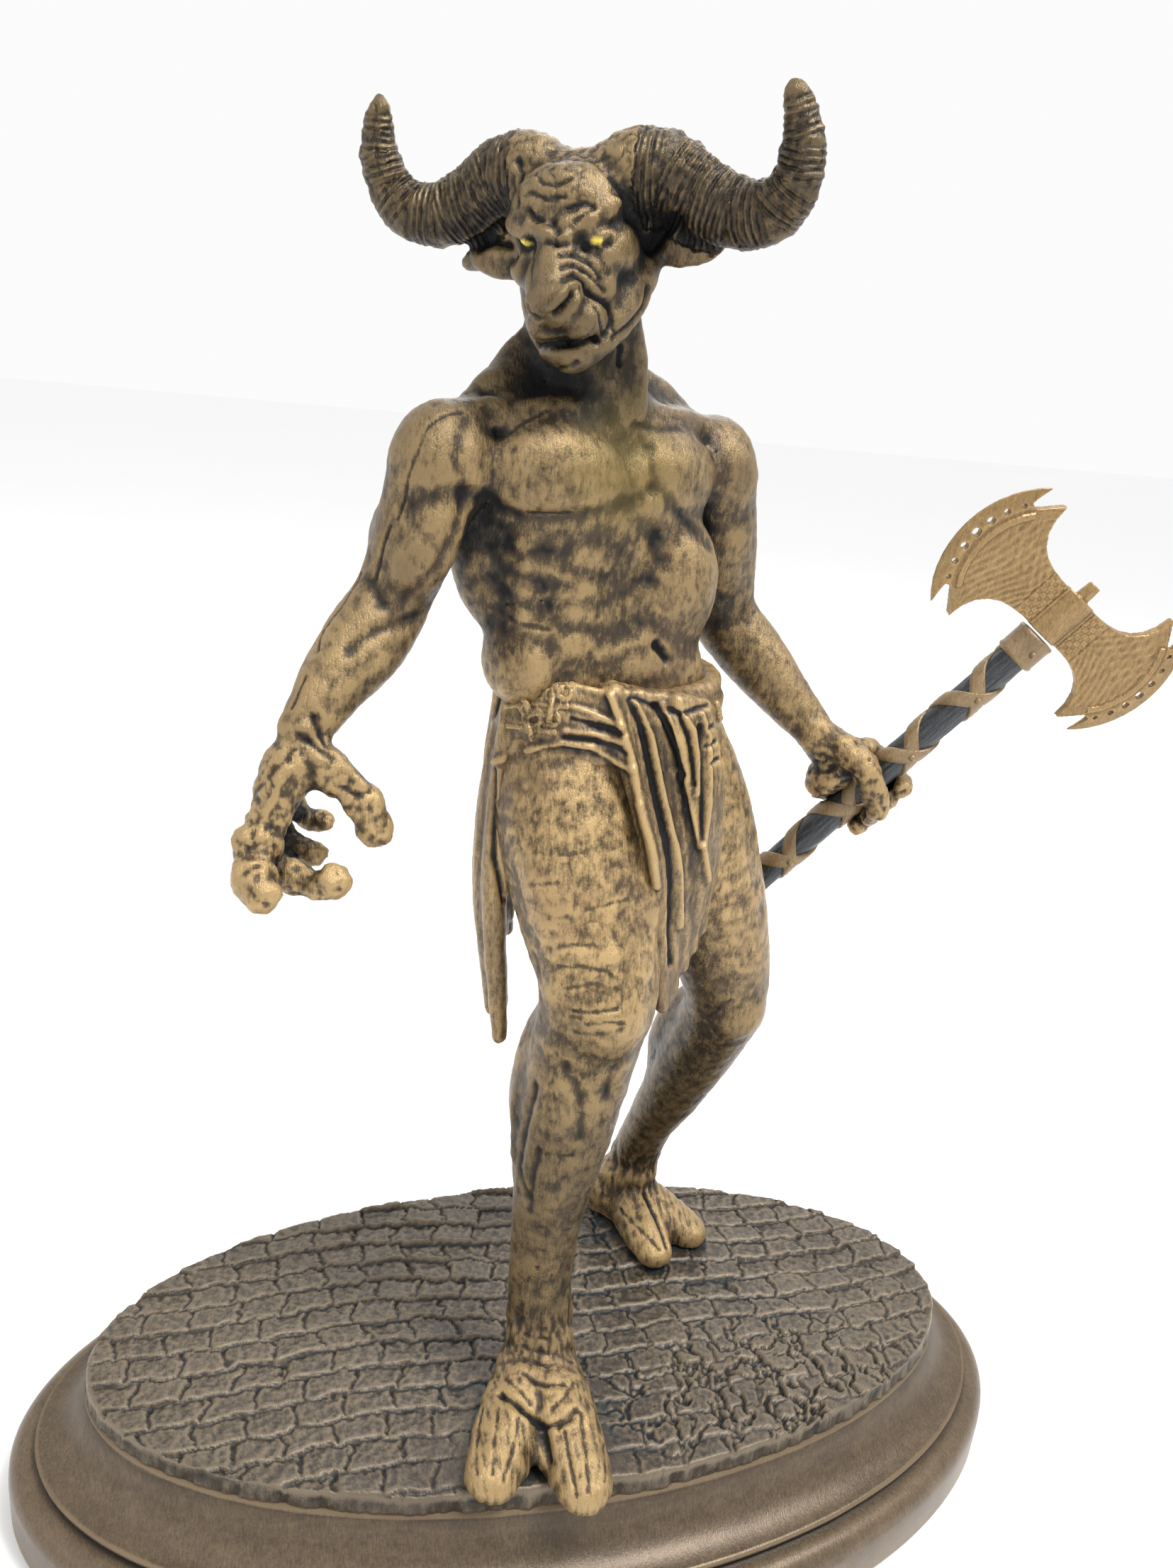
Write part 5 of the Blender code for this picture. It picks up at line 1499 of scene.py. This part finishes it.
def aged(name, metallic, bump, colours, amounts):
    """A paint from the aged group, with its own colours, amounts and bump; returned with its main nodes."""
    made = bpy.data.materials.new(name)
    made.use_nodes = True
    tree = made.node_tree
    shader = tree.nodes["Principled BSDF"]
    shader.inputs["Metallic"].default_value = metallic
    group = tree.nodes.new("ShaderNodeGroup")
    group.node_tree = AGED
    for key, colour in colours.items():
        group.inputs[key].default_value = (*colour, 1)
    for key, amount in amounts.items():
        group.inputs[key].default_value = amount
    raised = tree.nodes.new("ShaderNodeBump")
    raised.inputs["Strength"].default_value = bump
    raised.inputs["Distance"].default_value = 0.0004
    tree.links.new(group.outputs["Colour"], shader.inputs["Base Color"])
    tree.links.new(group.outputs["Roughness"], shader.inputs["Roughness"])
    tree.links.new(group.outputs["Height"], raised.inputs["Height"])
    tree.links.new(raised.outputs["Normal"], shader.inputs["Normal"])
    return made, tree, shader, group, raised


BRONZE = {"Light": (0.42, 0.285, 0.128), "Middle": (0.078, 0.052, 0.026), "Rose": (0.105, 0.062, 0.040),
          "Dark": (0.010, 0.0095, 0.011), "Bloom And Shade": (0.030, 0.038, 0.043)}
CHEST_GOLD = tuple(FIGURE_PLACE @ Vector((-1, -14, 214)))


def paint_figure():
    """The body's paint, with dark horn rings, a golden patch on the chest, painted light and shade by height
    and yellow eyes.
    """
    amounts = {"Rub And Light": 1.0, "Grime And Shade": 1.0, "Bloom Amount": 0.8, "Rose Amount": 0.45}
    made, tree, shader, group, raised = aged("bronze_skin", 0.45, 0.9, BRONZE, amounts)
    colour = group.outputs["Colour"]
    where = tree.nodes.new("ShaderNodeTexCoord").outputs["Object"]
    apart = tree.nodes.new("ShaderNodeVectorMath")
    apart.operation = "DISTANCE"
    apart.inputs[1].default_value = CHEST_GOLD
    tree.links.new(where, apart.inputs[0])
    near = maths(tree, "SUBTRACT", 1.0, maths(tree, "MULTIPLY", apart.outputs["Value"], 58), clamp=True)
    speckle = maths(tree, "MULTIPLY", noise_node(tree, where, 700, 5, 0.75), 1.1)
    near = maths(tree, "MULTIPLY", near, speckle, clamp=True)
    colour = mixed(tree, near, colour, (0.42, 0.30, 0.055))
    horn = reading(tree, "horn")
    on_horn = maths(tree, "GREATER_THAN", horn, 0.0)
    sway = maths(tree, "MULTIPLY", noise_node(tree, where, 260, 3, 0.6), 4.0)
    rings = maths(tree, "SINE", maths(tree, "ADD", maths(tree, "MULTIPLY", horn, 5.7), sway))
    rings = maths(tree, "MULTIPLY", maths(tree, "ADD", maths(tree, "MULTIPLY", rings, 0.5), 0.5), on_horn)
    dark = maths(tree, "MULTIPLY", maths(tree, "POWER", rings, 2.0), 0.45)
    colour = mixed(tree, dark, colour, (0.03, 0.03, 0.035))
    # painted light and shade: the colour scaled by height up the figure
    light_and_shade_scale = tree.nodes.new("ShaderNodeVectorMath")
    light_and_shade_scale.operation = "SCALE"
    tree.links.new(colour, light_and_shade_scale.inputs[0])
    tree.links.new(reading(tree, "light_and_shade_tone"), light_and_shade_scale.inputs["Scale"])
    colour = mixed(tree, reading(tree, "eye"), light_and_shade_scale.outputs["Vector"], (0.85, 0.68, 0.10))
    tree.links.new(colour, shader.inputs["Base Color"])
    height = maths(tree, "SUBTRACT", group.outputs["Height"], maths(tree, "MULTIPLY", rings, 0.8))
    tree.links.new(height, raised.inputs["Height"])
    return made


def paint_cobbles():
    """Dull brown stones with dark joints."""
    colours = {"Light": (0.15, 0.115, 0.075), "Middle": (0.040, 0.031, 0.022), "Rose": (0.045, 0.030, 0.025),
               "Dark": (0.005, 0.006, 0.008), "Bloom And Shade": (0.020, 0.038, 0.048)}
    return aged("painted_cobbles", 0.25, 0.5, colours,
                {"Rub And Light": 0.9, "Grime And Shade": 0.9, "Bloom Amount": 1.1, "Rose Amount": 0.4})[0]


def paint_plinth():
    """Rubbed brown on the mouldings, with painted light on their tops."""
    colours = {"Light": (0.17, 0.12, 0.070), "Middle": (0.062, 0.043, 0.026), "Rose": (0.07, 0.045, 0.032),
               "Dark": (0.009, 0.009, 0.009), "Bloom And Shade": (0.025, 0.042, 0.048)}
    return aged("rubbed_and_lit_plinth", 0.4, 0.3, colours,
                {"Rub And Light": 0.8, "Grime And Shade": 0.9, "Bloom Amount": 0.55, "Rose Amount": 0.3})[0]


def paint_straps():
    """Pale worn straps and studs."""
    colours = {"Light": (0.32, 0.22, 0.11), "Middle": (0.15, 0.10, 0.055), "Rose": (0.12, 0.07, 0.045),
               "Dark": (0.02, 0.018, 0.018), "Bloom And Shade": (0.05, 0.07, 0.09)}
    return aged("strap_paint", 0.25, 0.5, colours,
                {"Rub And Light": 0.9, "Grime And Shade": 0.6, "Bloom Amount": 0.5, "Rose Amount": 0.4})[0]


def paint_wood():
    """Nearly black wood."""
    colours = {"Light": (0.07, 0.075, 0.075), "Middle": (0.022, 0.026, 0.032), "Rose": (0.03, 0.025, 0.022),
               "Dark": (0.006, 0.006, 0.007), "Bloom And Shade": (0.03, 0.045, 0.06)}
    return aged("dark_wood", 0.1, 0.6, colours,
                {"Rub And Light": 0.8, "Grime And Shade": 1.0, "Bloom Amount": 0.8, "Rose Amount": 0.2})[0]


def paint_brass():
    """Yellower metal for the axe."""
    colours = {"Light": (0.36, 0.235, 0.10), "Middle": (0.155, 0.096, 0.038), "Rose": (0.26, 0.16, 0.08),
               "Dark": (0.05, 0.032, 0.014), "Bloom And Shade": (0.08, 0.075, 0.06)}
    return aged("brass_paint", 0.55, 0.3, colours,
                {"Rub And Light": 1.0, "Grime And Shade": 0.9, "Bloom Amount": 0.4, "Rose Amount": 0.25})[0]


def paint_cloth():
    """The body's bronze, with more dark grime and painted shade in the folds."""
    return aged("bronze_cloth", 0.3, 0.6, BRONZE,
                {"Rub And Light": 0.8, "Grime And Shade": 1.25, "Bloom Amount": 0.9, "Rose Amount": 0.5})[0]


def paint_trim():
    """The body's bronze, brighter on the edges."""
    return aged("bronze_trim", 0.35, 0.5, BRONZE,
                {"Rub And Light": 1.2, "Grime And Shade": 1.0, "Bloom Amount": 0.5, "Rose Amount": 0.3})[0]


def paint_floor():
    """The pale floor."""
    made = bpy.data.materials.new("pale_floor")
    made.use_nodes = True
    tree = made.node_tree
    where = tree.nodes.new("ShaderNodeTexCoord").outputs["Object"]
    colour = mixed(tree, noise_node(tree, where, 2, 2, 0.5), (0.95, 0.95, 0.95), (0.97, 0.97, 0.97))
    tree.links.new(colour, tree.nodes["Principled BSDF"].inputs["Base Color"])
    tree.nodes["Principled BSDF"].inputs["Roughness"].default_value = 0.8
    return made


# Floor, light and camera

def make_stage():
    """The floor and the studio light."""
    shape = bmesh.new()
    bmesh.ops.create_grid(shape, x_segments=1, y_segments=1, size=6)
    floor = put(shape, "floor", Matrix.Translation((0, 0, -0.0002)))
    floor.data.materials.append(paint_floor())
    sky = bpy.data.worlds.new("studio")
    bpy.context.scene.world = sky
    sky.use_nodes = True
    sky.node_tree.nodes["Background"].inputs["Color"].default_value = (1, 1, 1, 1)
    sky.node_tree.nodes["Background"].inputs["Strength"].default_value = 0.97
    lamps = (("key", (0.30, -0.30, 1.0), 0.28, 10), ("fill", (-0.8, -0.3, 0.6), 0.8, 1.5),
             ("rim", (0.3, 0.9, 0.8), 0.6, 2.5))
    for name, place, size, power in lamps:
        lamp = bpy.data.lights.new(name, "AREA")
        lamp.energy = power
        lamp.size = size
        holder = link(bpy.data.objects.new(name, lamp))
        holder.location = place
        aim = Vector((0, 0, 0.17)) - Vector(place)
        holder.rotation_euler = aim.to_track_quat("-Z", "Y").to_euler()


def make_camera():
    """The camera at the photograph's viewing angle."""
    right, up, forward = view_axes()
    lens = bpy.data.cameras.new("photo_view")
    lens.sensor_fit = "VERTICAL"
    lens.sensor_height = 36
    lens.lens = 36 * VIEW_FOCAL / VIEW_SIZE[1]
    lens.clip_start = 0.01
    camera = link(bpy.data.objects.new("photo_view", lens))
    camera.matrix_world = Matrix.Translation(VIEW_FROM) @ Matrix((right, up, -forward)).transposed().to_4x4()
    bpy.context.scene.camera = camera


AGED = make_aged_group()
BEADS = beads_tree()
make_stage()
make_camera()
make_figure()
make_ground()
make_plinth()
make_handle()
make_axe_head()
bpy.context.scene.view_settings.view_transform = "Standard"
